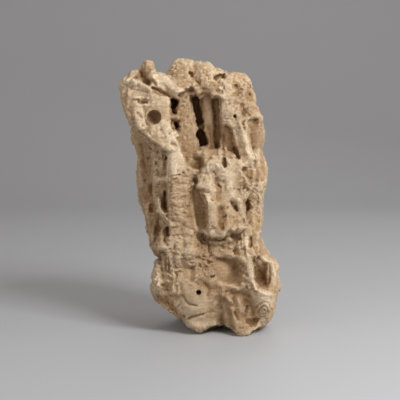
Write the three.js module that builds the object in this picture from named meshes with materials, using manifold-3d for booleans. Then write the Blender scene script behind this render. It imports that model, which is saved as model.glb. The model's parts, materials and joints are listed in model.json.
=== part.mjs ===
// A weathered sandstone rock of the kind set up in planted aquariums: a tall block that leans a little to its
// left, stands on worn feet, and is opened near its top by a deep window with pillars standing in it.
// Millimetres, +Z up, -Y is the front. The origin is on the ground, under the middle of the rock.
import * as THREE from "three";
import { mergeVertices } from "three/addons/utils/BufferGeometryUtils.js";
import Module from "manifold-3d";

const wasm = await Module();
wasm.setup();

// Driving dimensions of the plain block that the weather worked on.
const MIDDLE = 145; // the height that the block narrows away from, upwards and downwards
const HALF_WIDTH = 70; // for reading the underside and the top line across the block
const LEFT_EDGE = [
  [-10, -46], [8, -53], [26, -71], [42, -58], [56, -51], [72, -46], [82, -49], [96, -54], [110, -55],
  [126, -56], [142, -63], [162, -65], [180, -64], [198, -63], [216, -67], [234, -75], [250, -83], [264, -86],
  [300, -85],
];
const RIGHT_EDGE = [
  [-10, 70], [8, 84], [30, 87], [50, 89], [64, 85], [80, 71], [96, 68], [115, 64], [135, 63], [152, 66],
  [175, 69], [195, 58], [215, 67], [235, 63], [262, 62], [285, 53], [300, 48],
];
const FRONT_FACE = [[-10, -46], [20, -52], [60, -56], [120, -58], [190, -56], [240, -53], [285, -47]];
const BACK_FACE = [[-10, 44], [30, 53], [90, 60], [160, 62], [220, 57], [285, 46]];
const UNDERSIDE = [
  [-60, 30], [-50, 19], [-38, 15], [-28, 9], [-20, -1], [-13, -9], [-4, -7], [4, 6], [12, 13], [21, 9],
  [28, -5], [40, -15], [52, -13], [62, -5], [72, -4], [84, 6], [92, 22],
];
const TOP_LINE = [[-90, 272], [-76, 286], [-60, 288], [-36, 283], [0, 289], [30, 288], [52, 283], [66, 266]];

// How finely the block is divided: most closely on the front, which has the most relief.
const COLUMNS = { front: 26, right: 12, back: 10, left: 13 };
const ROWS = { cap: 4, side: 38 };
const SECTION_ROUNDNESS = 3.2; // of a level section, a rounded square: 2 would be an ellipse
const UPRIGHT_ROUNDNESS = 7;
const WEAR = 0.4; // how far each point of the block goes towards the middle of its neighbours at the end

// Ridges, lumps, hollows and grooves of each side, drawn in that side's own plane: x and z on the front and
// the back, y and z on the left and the right, x and y on the top. Each moves the surface by its lift, outwards
// above 0. A path moves what lies within its width, and edge is the share of the width over which it fades. An
// outline moves what lies inside it, and fades over a distance round it.
const FORMS = {
  front: [
    { name: "corner plate", lift: 10, fade: 6,
      outline: [[-80, 262], [-62, 274], [-40, 266], [-31, 256], [-30, 206], [-38, 198], [-52, 212],
        [-70, 226]] },
    { name: "left flank", lift: -17, width: 22, edge: 0.75, path: [[-62, 196], [-52, 170], [-50, 128]] },
    { name: "flank rib", lift: 8, width: 6, edge: 1,
      path: [[-60, 196], [-56, 174], [-58, 150], [-52, 112]] },
    { name: "inner flank rib", lift: 10, width: 7, edge: 1,
      path: [[-45, 190], [-44, 176], [-48, 160], [-42, 140]] },
    { name: "flank foot", lift: 8, width: 9, edge: 0.9, path: [[-43, 128], [-35, 108], [-38, 90]] },
    { name: "column", lift: 9, fade: 6,
      outline: [[-30, 198], [-18, 196], [-10, 182], [-11, 150], [-10, 120], [-5, 96], [-10, 84], [-29, 88],
        [-30, 120]] },
    { name: "trough", lift: -19, width: 11, edge: 0.8, path: [[-2, 166], [-1, 146], [3, 118]] },
    { name: "slab", lift: 11, fade: 6,
      outline: [[-1, 178], [6, 190], [20, 197], [36, 192], [49, 167], [44, 150], [45, 126], [36, 117],
        [11, 117], [6, 140], [4, 160]] },
    { name: "slab rim", lift: 5, width: 8, edge: 1, path: [[4, 176], [10, 150], [12, 122], [26, 116]] },
    { name: "slab hollow", lift: -7, width: 12, edge: 1, path: [[17, 176]] },
    { name: "slab hollow by the edge", lift: -8, width: 11, edge: 1, path: [[37, 144]] },
    { name: "under the slab", lift: -8, width: 9, edge: 0.9, path: [[0, 106], [16, 102], [34, 106]] },
    { name: "pocket over the trough", lift: -12, width: 8, edge: 0.8, path: [[-3, 190], [2, 182]] },
    { name: "right jamb", lift: 7, fade: 8,
      outline: [[28, 282], [50, 278], [56, 258], [54, 238], [46, 228], [40, 236], [27, 242]] },
    { name: "right recess", lift: -11, width: 11, edge: 0.6, path: [[28, 222], [32, 210], [37, 200]] },
    { name: "jamb edge", lift: 7, width: 7, edge: 0.9, path: [[43, 226], [46, 208], [50, 186]] },
    { name: "right trough", lift: -9, width: 8, edge: 0.9, path: [[58, 248], [60, 228], [56, 206]] },
    { name: "right pocket row", lift: -9, width: 8, edge: 0.9, path: [[53, 186], [56, 176]] },
    { name: "right knob", lift: 7, width: 9, edge: 0.9, path: [[60, 168]] },
    { name: "long right pocket", lift: -12, width: 7, edge: 0.9, path: [[50, 146], [53, 128]] },
    { name: "corner pocket", lift: -10, width: 7, edge: 0.9, path: [[37, 112], [43, 108]] },
    { name: "right rim", lift: 9, width: 6, edge: 1,
      path: [[48, 128], [51, 104], [53, 84], [58, 64], [70, 50]] },
    { name: "slot by the rim", lift: -8, width: 6, edge: 0.9, path: [[57, 110], [57, 94]] },
    { name: "scoop", lift: -12, width: 17, edge: 0.85, path: [[26, 80], [32, 66]] },
    { name: "scoop bank", lift: 8, width: 11, edge: 1, path: [[46, 86], [48, 66], [40, 54]] },
    { name: "scoop sill", lift: 7, width: 11, edge: 1, path: [[14, 54], [30, 50]] },
    { name: "crumbled patch", lift: 4, width: 14, edge: 0.8, path: [[0, 102], [4, 76]] },
    { name: "bottom scoop", lift: -11, width: 13, edge: 0.9, path: [[42, 40], [50, 26]] },
    { name: "heel hollow", lift: -10, width: 8, edge: 0.9, path: [[57, 18]] },
    { name: "keel", lift: 8, width: 12, edge: 1, path: [[24, 48], [30, 28], [38, 6]] },
    { name: "smooth cheek", lift: 5, width: 20, edge: 0.7, path: [[-8, 60], [-4, 36]] },
    { name: "left boss", lift: 7, width: 15, edge: 0.8, path: [[-44, 68], [-42, 48]] },
    { name: "boss groove", lift: -9, width: 7, edge: 0.9, path: [[-38, 92], [-37, 72]] },
    { name: "right boss", lift: 9, width: 15, edge: 0.8, path: [[70, 40], [72, 24]] },
    { name: "toe", lift: 5, width: 10, edge: 0.8, path: [[-8, 10], [2, 8]] },
    { name: "heel", lift: 10, width: 13, edge: 0.8, path: [[42, 6], [50, 6]] },
  ],
  left: [
    { name: "fore flute", lift: -11, width: 13, edge: 0.9, path: [[-32, 214], [-26, 184], [-30, 150]] },
    { name: "fore rib", lift: 6, width: 13, edge: 1,
      path: [[-42, 204], [-40, 168], [-30, 132], [-30, 98]] },
    { name: "middle rib", lift: 7, width: 15, edge: 1,
      path: [[-8, 250], [-2, 214], [-8, 178], [0, 146], [-6, 112]] },
    { name: "branch of the middle rib", lift: 6, width: 14, edge: 1,
      path: [[-2, 214], [18, 190], [24, 160]] },
    { name: "back flute", lift: -12, width: 16, edge: 0.9, path: [[22, 246], [32, 218], [34, 194]] },
    { name: "back rib", lift: 6, width: 15, edge: 1, path: [[46, 246], [50, 206], [42, 156], [34, 116]] },
    { name: "waist bowl", lift: -13, width: 18, edge: 0.9, path: [[14, 116], [18, 100]] },
    { name: "side boss", lift: 6, width: 18, edge: 0.9, path: [[-24, 62], [-8, 48]] },
    { name: "low ledge", lift: 6, width: 14, edge: 0.9, path: [[-6, 74], [16, 68], [36, 76]] },
    { name: "top hollow", lift: -9, width: 16, edge: 0.9, path: [[22, 268]] },
    { name: "low hollow", lift: -9, width: 17, edge: 0.9, path: [[28, 40]] },
  ],
  right: [
    { name: "fore rib", lift: 6, width: 13, edge: 1,
      path: [[-38, 262], [-34, 228], [-38, 196], [-34, 164]] },
    { name: "fore flute", lift: -11, width: 14, edge: 0.9, path: [[-22, 246], [-18, 214], [-22, 184]] },
    { name: "middle rib", lift: 7, width: 15, edge: 1,
      path: [[2, 268], [8, 226], [2, 192], [-6, 150], [2, 118]] },
    { name: "branch of the middle rib", lift: 6, width: 14, edge: 1,
      path: [[2, 192], [24, 168], [34, 140]] },
    { name: "back flute", lift: -12, width: 15, edge: 0.9, path: [[32, 240], [28, 208]] },
    { name: "back rib", lift: 6, width: 15, edge: 1, path: [[52, 240], [50, 196], [54, 150]] },
    { name: "waist pocket", lift: -13, width: 15, edge: 0.9, path: [[-28, 126], [-24, 110]] },
    { name: "low ledge", lift: 7, width: 14, edge: 0.9, path: [[-22, 84], [4, 78], [24, 86], [44, 80]] },
    { name: "low bowl", lift: -10, width: 17, edge: 0.9, path: [[14, 50], [26, 40]] },
    { name: "back boss", lift: 6, width: 18, edge: 0.9, path: [[48, 50]] },
  ],
  back: [
    { name: "main rib", lift: 9, width: 16, edge: 1,
      path: [[-26, 262], [-18, 226], [-24, 186], [-10, 150], [-16, 112]] },
    { name: "branch rib", lift: 7, width: 14, edge: 1, path: [[-24, 186], [-46, 158], [-46, 128]] },
    { name: "left flute", lift: -12, width: 15, edge: 0.9, path: [[-52, 232], [-46, 204]] },
    { name: "right flute", lift: -13, width: 17, edge: 0.9, path: [[10, 250], [6, 222]] },
    { name: "right rib", lift: 8, width: 15, edge: 1, path: [[36, 258], [44, 220], [38, 184], [48, 150]] },
    { name: "middle hollow", lift: -11, width: 16, edge: 0.9, path: [[16, 150], [24, 124]] },
    { name: "left hollow", lift: -12, width: 14, edge: 0.9, path: [[-32, 134], [-30, 126]] },
    { name: "shelf", lift: 8, width: 14, edge: 0.9, path: [[-48, 100], [-22, 92], [6, 98], [40, 90]] },
    { name: "shallow bowl", lift: -13, width: 22, edge: 0.9, path: [[18, 64], [34, 54]] },
    { name: "low boss", lift: 7, width: 20, edge: 0.9, path: [[-30, 54]] },
    { name: "heel", lift: 7, width: 17, edge: 0.9, path: [[52, 24]] },
    { name: "shoulder", lift: 6, width: 18, edge: 0.9, path: [[44, 268], [18, 274]] },
  ],
  top: [
    { name: "basin", lift: -9, width: 15, edge: 0.9, path: [[-66, -8], [-58, 14]] },
    { name: "back swell", lift: 7, width: 18, edge: 0.9, path: [[-24, 26], [-2, 34], [16, 24]] },
    { name: "cross groove", lift: -8, width: 11, edge: 0.9, path: [[-42, -14], [-32, 8], [-38, 34]] },
    { name: "notch", lift: -7, width: 9, edge: 0.9, path: [[26, -22], [30, 4], [36, 18]] },
  ],
};

// Deep hollows: where each is centred, its half sizes, how square it is, and its lean about Y in degrees.
const HOLLOWS = [
  { name: "window", at: [-3, -60, 230], half: [28, 35, 31], roundness: 5, lean: -6 },
  { name: "foot of the broad pillar", at: [-11, -66, 194], half: [11, 15, 15], roundness: 3, lean: -14 },
  { name: "cave over the slot", at: [-8, -56, 267], half: [5, 14, 7], roundness: 2.3, lean: -10 },
  { name: "cave over the thin pillar", at: [9, -58, 265], half: [7, 14, 6], roundness: 2.3, lean: 0 },
  { name: "jamb recess", at: [30, -60, 211], half: [11, 13, 19], roundness: 2.6, lean: -14 },
  { name: "round boring", at: [-50, -58, 237], half: [7.5, 18, 7.5], roundness: 2.2, lean: 0 },
  { name: "right pocket", at: [66, -44, 71], half: [12.5, 24, 16.5], roundness: 2.3, lean: -14 },
  { name: "flank pocket", at: [-39, -48, 190], half: [5, 12, 12], roundness: 2.4, lean: 4 },
  { name: "flank slot", at: [-39, -49, 146], half: [4.5, 11, 11], roundness: 2.6, lean: 0 },
  { name: "low flank pocket", at: [-46, -41, 117], half: [5, 11, 12], roundness: 2.3, lean: 8 },
  { name: "column pocket", at: [-34, -52, 114], half: [4.5, 8, 9], roundness: 2.2, lean: 10 },
  { name: "arch", at: [17.5, -40, -6], half: [11.5, 26, 17], roundness: 2.4, lean: 6 },
  { name: "back pocket", at: [10, 62, 204], half: [11, 17, 18], roundness: 2.3, lean: 12 },
  { name: "side pocket", at: [66, 22, 128], half: [15, 10, 16], roundness: 2.3, lean: 0 },
  { name: "under hollow", at: [2, 8, -10], half: [26, 22, 18], roundness: 2.4, lean: 0 },
];

// Lumps and limbs that stand on the block or in its window: from one end to the other, with their thickness.
const LIMBS = [
  { name: "broad pillar", from: [-17.6, -37, 268], to: [-10.5, -43, 184], thick: [7.5, 11.5] },
  { name: "thin pillar", from: [6.6, -33, 266], to: [10.8, -34, 196], thick: [6, 5] },
  { name: "web of the broad pillar", from: [-27, -41, 212], to: [-24, -45, 188], thick: [6, 9] },
  { name: "pillar bridge", from: [-6, -34, 222], to: [8, -32, 220], thick: [6, 4] },
  { name: "plate bridge", from: [-36, -44, 231], to: [-16, -40, 230], thick: [6, 4] },
  { name: "horn", from: [-60, -20, 266], to: [-57, -22, 289.5], thick: [8, 10] },
  { name: "finger", from: [-48, -30, 279], to: [-26, -48, 267], thick: [10, 9] },
  { name: "left rim", from: [-80, -18, 266], to: [-64, -10, 279], thick: [12, 9] },
  { name: "first dome", from: [-20, -36, 274], to: [-20, -14, 287.5], thick: [14, 14] },
  { name: "second dome", from: [4, -38, 273], to: [3, -12, 284], thick: [14, 14] },
  { name: "right shoulder", from: [27, -26, 265], to: [42, -8, 269], thick: [17, 16] },
  { name: "crown", from: [-20, -4, 270], to: [16, -4, 272], thick: [20, 15] },
  { name: "back shoulder", from: [-24, 22, 272], to: [18, 24, 273], thick: [20, 16] },
  { name: "back foot", from: [-7, 20, 44], to: [-8, 33, 4], thick: [25, 18] },
  { name: "small nub", from: [3, -40, 198], to: [5, -54, 198], thick: [7, 6] },
];
const CLOSER_FROM = 24; // a hollow with a half size over this is divided more finely
const LIMB_ROUNDNESS = 2.4;
const UNEVENNESS = 0.1; // of the skin of a hollow or limb, as a share of its half size
const FACING = [0.1, 0.6]; // how squarely the surface faces a side where its forms begin to show, and fully do
const SWELL = { wide: 1.6, narrow: 1.1 }; // how far the surface swells between the named forms
const GROUND_CUT = 40; // how far the cut that levels the feet reaches down

// The value at t of a smooth line through points of [t, value].
function smoothLine(points) {
  const line = new THREE.CubicInterpolant(points.map((p) => p[0]), points.map((p) => p[1]), 1);
  return (t) => line.evaluate(t)[0];
}

const leftEdge = smoothLine(LEFT_EDGE);
const rightEdge = smoothLine(RIGHT_EDGE);
const frontFace = smoothLine(FRONT_FACE);
const backFace = smoothLine(BACK_FACE);
const underside = smoothLine(UNDERSIDE);
const topLine = smoothLine(TOP_LINE);

// The length that a vector of [a, b] has in a space whose unit circle is a rounded square.
function roundedLength(a, b, roundness) {
  return (Math.abs(a) ** roundness + Math.abs(b) ** roundness) ** (1 / roundness);
}

// The rim of the level section, as corners of a square from -1 to 1, divided as COLUMNS says.
function rimPoints() {
  const sides = [
    [COLUMNS.front, (s) => [s, -1]],
    [COLUMNS.right, (s) => [1, s]],
    [COLUMNS.back, (s) => [-s, 1]],
    [COLUMNS.left, (s) => [-1, -s]],
  ];
  return sides.flatMap(([count, at]) => Array.from({ length: count }, (_, i) => at((2 * i) / count - 1)));
}

// The upright outline from the bottom pole to the top pole, as points [out, up] of a square.
function uprightPoints() {
  const cap = Array.from({ length: ROWS.cap }, (_, i) => [(i + 1) / ROWS.cap, -1]);
  const side = Array.from({ length: ROWS.side - 1 }, (_, i) => [1, (2 * (i + 1)) / ROWS.side - 1]);
  const top = cap.map(([out]) => [out, 1]).reverse();
  return [...cap, ...side, ...top];
}

// Puts a point of the unit block, a rounded square in every direction, where the rock's own outlines say.
function onBlock(a, b, c) {
  const x0 = (leftEdge(MIDDLE) + rightEdge(MIDDLE)) / 2;
  const reach = c > 0 ? topLine(x0 + a * HALF_WIDTH) - MIDDLE : MIDDLE - underside(x0 + a * HALF_WIDTH);
  const z = MIDDLE + c * reach;
  const x = THREE.MathUtils.lerp(leftEdge(z), rightEdge(z), (a + 1) / 2);
  const y = THREE.MathUtils.lerp(frontFace(z), backFace(z), (b + 1) / 2);
  return new THREE.Vector3(x, y, z);
}

// The plain block as a closed grid: rings of points between two poles.
function blockGeometry() {
  const rim = rimPoints();
  const levels = uprightPoints();
  const points = [onBlock(0, 0, -1)];
  for (const [out, up] of levels) {
    const long = roundedLength(out, up, UPRIGHT_ROUNDNESS);
    for (const [a, b] of rim) {
      const wide = roundedLength(a, b, SECTION_ROUNDNESS);
      points.push(onBlock(((a / wide) * out) / long, ((b / wide) * out) / long, up / long));
    }
  }
  points.push(onBlock(0, 0, 1));

  const around = rim.length;
  const last = points.length - 1;
  const ring = (row, i) => 1 + row * around + (i % around);
  const faces = [];
  for (let i = 0; i < around; i++) {
    faces.push(0, ring(0, i + 1), ring(0, i));
    for (let row = 0; row < levels.length - 1; row++) {
      faces.push(ring(row, i), ring(row, i + 1), ring(row + 1, i + 1));
      faces.push(ring(row, i), ring(row + 1, i + 1), ring(row + 1, i));
    }
    faces.push(last, ring(levels.length - 1, i), ring(levels.length - 1, i + 1));
  }
  const geometry = new THREE.BufferGeometry().setFromPoints(points);
  geometry.setIndex(faces);
  return geometry;
}

// How squarely a surface with a given normal faces each side, and where a point lies in that side's plane.
const SIDES = {
  front: { facing: (n) => -n.y, plane: (p) => [p.x, p.z] },
  back: { facing: (n) => n.y, plane: (p) => [p.x, p.z] },
  left: { facing: (n) => -n.x, plane: (p) => [p.y, p.z] },
  right: { facing: (n) => n.x, plane: (p) => [p.y, p.z] },
  top: { facing: (n) => n.z, plane: (p) => [p.x, p.y] },
};

function distanceToPath([x, y], path) {
  let nearest = Infinity;
  for (let i = 0; i < Math.max(1, path.length - 1); i++) {
    const [ax, ay] = path[i];
    const [bx, by] = path[Math.min(i + 1, path.length - 1)];
    const [dx, dy] = [bx - ax, by - ay];
    const along = THREE.MathUtils.clamp(((x - ax) * dx + (y - ay) * dy) / (dx * dx + dy * dy || 1), 0, 1);
    nearest = Math.min(nearest, Math.hypot(x - ax - along * dx, y - ay - along * dy));
  }
  return nearest;
}

function isInside([x, y], outline) {
  let inside = false;
  outline.forEach(([ax, ay], i) => {
    const [bx, by] = outline[(i + 1) % outline.length];
    if (ay > y !== by > y && x < ax + ((y - ay) * (bx - ax)) / (by - ay)) inside = !inside;
  });
  return inside;
}

// The share of a form's lift that a place in its plane gets.
function shareOf(form, place) {
  if (form.path) {
    return 1 - THREE.MathUtils.smoothstep(distanceToPath(place, form.path) / form.width, 1 - form.edge, 1);
  }
  if (isInside(place, form.outline)) return 1;
  const rim = [...form.outline, form.outline[0]];
  return 1 - THREE.MathUtils.smoothstep(distanceToPath(place, rim) / form.fade, 0, 1);
}

// The slow swell of the surface between the named forms.
function swell({ x, y, z }) {
  const wide = Math.sin(x / 11 + z / 23) * Math.cos(y / 13 - z / 31);
  const narrow = Math.sin(x / 7 - y / 9 + z / 12);
  return SWELL.wide * wide + SWELL.narrow * narrow;
}

// How far the weather has moved a point of the block outwards.
function lift(point, normal) {
  let moved = swell(point);
  for (const [side, forms] of Object.entries(FORMS)) {
    const share = THREE.MathUtils.smoothstep(SIDES[side].facing(normal), ...FACING);
    if (share === 0) continue;
    const place = SIDES[side].plane(point);
    for (const form of forms) moved += share * form.lift * shareOf(form, place);
  }
  return moved;
}

// Wears down the steps between the points of the block's grid.
function worn(points) {
  const around = rimPoints().length;
  const last = points.length - 1;
  const rows = (last - 1) / around;
  const at = (row, i) => {
    if (row < 0) return points[0];
    return row >= rows ? points[last] : points[1 + row * around + ((i + around) % around)];
  };
  return points.map((point, index) => {
    if (index === 0 || index === last) return point;
    const row = Math.floor((index - 1) / around);
    const i = (index - 1) % around;
    const beside = at(row, i - 1).clone().add(at(row, i + 1));
    return beside.add(at(row - 1, i)).add(at(row + 1, i)).divideScalar(4).lerp(point, 1 - WEAR);
  });
}

function weatheredBlock() {
  const geometry = blockGeometry();
  geometry.computeVertexNormals();
  const { position, normal } = geometry.attributes;
  const point = new THREE.Vector3();
  const out = new THREE.Vector3();
  const moved = [];
  for (let i = 0; i < position.count; i++) {
    point.fromBufferAttribute(position, i);
    out.fromBufferAttribute(normal, i);
    moved.push(point.clone().addScaledVector(out, lift(point, out)));
  }
  const weathered = new THREE.BufferGeometry().setFromPoints(worn(moved));
  weathered.setIndex(geometry.index);
  return weathered;
}

// A rounded lump in a box from -1 to 1: a ball at roundness 2, nearer a cube above it, with an uneven skin.
function lump(divisions, roundness, seed) {
  const geometry = new THREE.BoxGeometry(2, 2, 2, divisions, divisions, divisions);
  const place = geometry.attributes.position;
  const point = new THREE.Vector3();
  for (let i = 0; i < place.count; i++) {
    point.fromBufferAttribute(place, i);
    point.divideScalar(roundedLength(roundedLength(point.x, point.y, roundness), point.z, roundness));
    const across = Math.sin(point.x * 5 + seed) + Math.sin(point.y * 6 + seed * 2);
    const uneven = across + Math.sin(point.z * 7 - seed);
    point.multiplyScalar(1 + (UNEVENNESS * uneven) / 3);
    place.setXYZ(i, point.x, point.y, point.z);
  }
  return geometry;
}

function hollowGeometry({ at, half, roundness, lean }, index) {
  const geometry = lump(Math.max(...half) > CLOSER_FROM ? 4 : 3, roundness, index);
  geometry.scale(...half).rotateY(THREE.MathUtils.degToRad(lean)).translate(...at);
  return geometry;
}

function limbGeometry({ from, to, thick }, index) {
  const start = new THREE.Vector3(...from);
  const end = new THREE.Vector3(...to);
  const along = end.clone().sub(start);
  const geometry = lump(3, LIMB_ROUNDNESS, index);
  geometry.scale(thick[0], thick[1], along.length() / 2 + Math.min(...thick));
  const turn = new THREE.Quaternion().setFromUnitVectors(new THREE.Vector3(0, 0, 1), along.normalize());
  geometry.applyQuaternion(turn).translate(...start.add(end).multiplyScalar(0.5).toArray());
  return geometry;
}

// A closed geometry as a solid that can be joined and cut.
function solid(geometry) {
  const bare = geometry.clone();
  bare.deleteAttribute("normal");
  bare.deleteAttribute("uv");
  const merged = mergeVertices(bare, 1e-4);
  return new wasm.Manifold(new wasm.Mesh({
    numProp: 3,
    vertProperties: new Float32Array(merged.attributes.position.array),
    triVerts: new Uint32Array(merged.index.array),
  }));
}

function geometryOf(made) {
  const { vertProperties, triVerts } = made.getMesh();
  const geometry = new THREE.BufferGeometry();
  geometry.setAttribute("position", new THREE.BufferAttribute(new Float32Array(vertProperties), 3));
  geometry.setIndex(new THREE.BufferAttribute(new Uint32Array(triVerts), 1));
  return geometry;
}

// The ground levels the feet.
function belowGround() {
  return new THREE.BoxGeometry(400, 400, GROUND_CUT).translate(0, 0, -GROUND_CUT / 2);
}

function sandstoneRock() {
  let rock = solid(weatheredBlock());
  for (const [index, form] of HOLLOWS.entries()) rock = rock.subtract(solid(hollowGeometry(form, index)));
  for (const [index, form] of LIMBS.entries()) rock = rock.add(solid(limbGeometry(form, index)));
  rock = rock.subtract(solid(belowGround()));

  const geometry = geometryOf(rock);
  geometry.computeBoundingBox();
  const middle = geometry.boundingBox.getCenter(new THREE.Vector3());
  geometry.translate(-middle.x, -middle.y, 0);
  geometry.computeVertexNormals();
  const stone = new THREE.MeshStandardMaterial({ color: 0xa08664, roughness: 0.95, metalness: 0 });
  const mesh = new THREE.Mesh(geometry, stone);
  mesh.name = "sandstone_rock";
  return mesh;
}

const part = new THREE.Group();
part.add(sandstoneRock());

export default part;
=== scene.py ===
"""A weathered sandstone rock with a pillared window, ribs, troughs and borings, on a pale studio floor."""
import json
import math
from itertools import product

import bpy
import numpy as np
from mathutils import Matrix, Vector

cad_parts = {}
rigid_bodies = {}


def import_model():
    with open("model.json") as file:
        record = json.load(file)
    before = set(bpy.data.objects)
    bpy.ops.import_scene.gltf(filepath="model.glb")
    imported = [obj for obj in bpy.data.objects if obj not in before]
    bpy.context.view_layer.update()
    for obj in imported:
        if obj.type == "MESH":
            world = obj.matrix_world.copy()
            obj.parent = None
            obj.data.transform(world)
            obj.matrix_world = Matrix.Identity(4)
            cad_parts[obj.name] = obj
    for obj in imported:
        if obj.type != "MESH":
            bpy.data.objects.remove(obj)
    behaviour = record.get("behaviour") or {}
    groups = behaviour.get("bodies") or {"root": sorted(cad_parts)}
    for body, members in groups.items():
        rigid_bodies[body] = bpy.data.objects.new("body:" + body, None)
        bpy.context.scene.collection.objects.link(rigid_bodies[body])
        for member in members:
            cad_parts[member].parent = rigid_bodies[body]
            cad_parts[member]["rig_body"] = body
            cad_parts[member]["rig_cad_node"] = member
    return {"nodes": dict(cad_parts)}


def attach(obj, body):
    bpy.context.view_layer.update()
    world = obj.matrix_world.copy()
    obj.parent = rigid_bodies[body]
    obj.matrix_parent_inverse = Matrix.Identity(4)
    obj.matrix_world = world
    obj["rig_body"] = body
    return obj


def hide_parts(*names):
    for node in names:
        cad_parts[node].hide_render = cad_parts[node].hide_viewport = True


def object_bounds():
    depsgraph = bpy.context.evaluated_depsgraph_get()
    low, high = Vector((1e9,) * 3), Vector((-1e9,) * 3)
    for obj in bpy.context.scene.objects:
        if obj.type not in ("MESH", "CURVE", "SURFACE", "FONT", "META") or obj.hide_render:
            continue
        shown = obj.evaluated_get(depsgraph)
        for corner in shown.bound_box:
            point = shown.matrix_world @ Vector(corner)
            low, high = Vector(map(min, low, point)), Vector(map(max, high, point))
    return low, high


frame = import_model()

bl_info = {
    "name": "Weathered Sandstone Rock",
    "version": (1, 0, 0),
    "blender": (4, 5, 0),
    "location": "3D View > Sidebar > Sandstone",
    "description": "Carves, weathers and finishes a sandstone rock from its plain solid",
    "category": "Object",
}

CAD_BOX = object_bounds()
MM = 0.001

# The photographed view, which is square. Every mark below is placed by its pixel in it.
VIEW_PIXELS = 400
VIEW_TARGET = Vector((0.0, 0.0, 0.143))
VIEW_DISTANCE = 1.2
VIEW_ELEVATION = math.radians(6.0)
VIEW_LENS = 96.75
VIEW_SENSOR = 36.0
VIEW_FOCAL = VIEW_LENS / VIEW_SENSOR * VIEW_PIXELS
VIEW_UP = (0.0, math.sin(VIEW_ELEVATION), math.cos(VIEW_ELEVATION))
VIEW_BACK = Vector((0.0, -math.cos(VIEW_ELEVATION), math.sin(VIEW_ELEVATION)))  # from the rock to the camera
CAMERA_PLACE = VIEW_TARGET + VIEW_BACK * VIEW_DISTANCE

# How far the edges of the marks waver, in pixels.
BROAD_WAVER = 1.8
LEVEL_WAVER = 1.3
FINE_WAVER = 0.9
PAINT_WAVER = 2.0

# Forms of the weathering, from the broadest to the finest: cell in mm, and what is added to the seed.
FORMS = {
    "patches": (30, 0), "swell": (20, 8), "pitted areas": (14, 6), "knobs": (9, 7), "pits": (5.5, 4),
    "bends across": (5, 1), "bends inwards": (5, 2), "bends upwards": (5, 3), "crumbs": (4, 11),
    "fine pits": (3, 5), "loose crumbs": (2.8, 12), "beds": (2.6, 9), "grains": (2, 10),
}

# Seeds of the other noise.
WAVER_SEEDS = (5, 8)
PAINT_SEEDS = (15, 16)
BORING_SEED = 21
RIBS_SEED = 31
POCKETS_SEED = 32
POCKET_BENDS_SEED = 33
MOTTLING_SEED = 41

# How often the skin is evened to measure its fine and broad hollows, and the depth of a full one in metres.
# The measure pales the crests as worn stone and darkens the hollows, partly as patina and partly as painted
# shade.
WEAR = [(5, 0.8 * MM), (60, 3.0 * MM)]

# How far rust, the worn crests with the painted shade of hollows, and the painted masks of bleaching with
# painted light and of stains with painted shade tint the stone, from 0 to 1.
RUST_SHARE = 0.35
WEAR_AND_HOLLOW_SHADE_SHARE = 0.3
PAINT_SHARE = 0.6

# Lights: name, place and width in metres, power in watts, colour.
LIGHTS = [
    ("key light", (0.68, -0.85, 0.98), 0.5, 15.5, (1.0, 0.985, 0.945)),
    ("side light", (1.4, -0.1, 0.3), 0.5, 3.4, (1.0, 0.99, 0.97)),
    ("fill light", (-0.9, -1.1, 0.5), 1.2, 4.0, (1.0, 0.97, 0.94)),
    ("back light", (0.35, 1.1, 0.95), 0.7, 2.5, (1.0, 0.97, 0.94)),
]
AIR_COLOUR = (1.0, 0.88, 0.77, 1.0)
AIR_STRENGTH = 0.35
FLOOR_WIDTH = 4.0
WALL_HEIGHT = 2.2
WALL_BEND = 0.8

# Places of a Mix node's colour sockets.
MIX_FACTOR, MIX_FIRST, MIX_SECOND, MIX_RESULT = 0, 6, 7, 2
NODES_IN_A_ROW = 8
NODE_GAP = (220, -280)

# The rows of a noise table are a power of two, and the origin keeps the numbers of all cells above 0.
NOISE_ROWS = 4096
NOISE_ORIGIN = 97.0
LAYERS_SUM = 1.6

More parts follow.
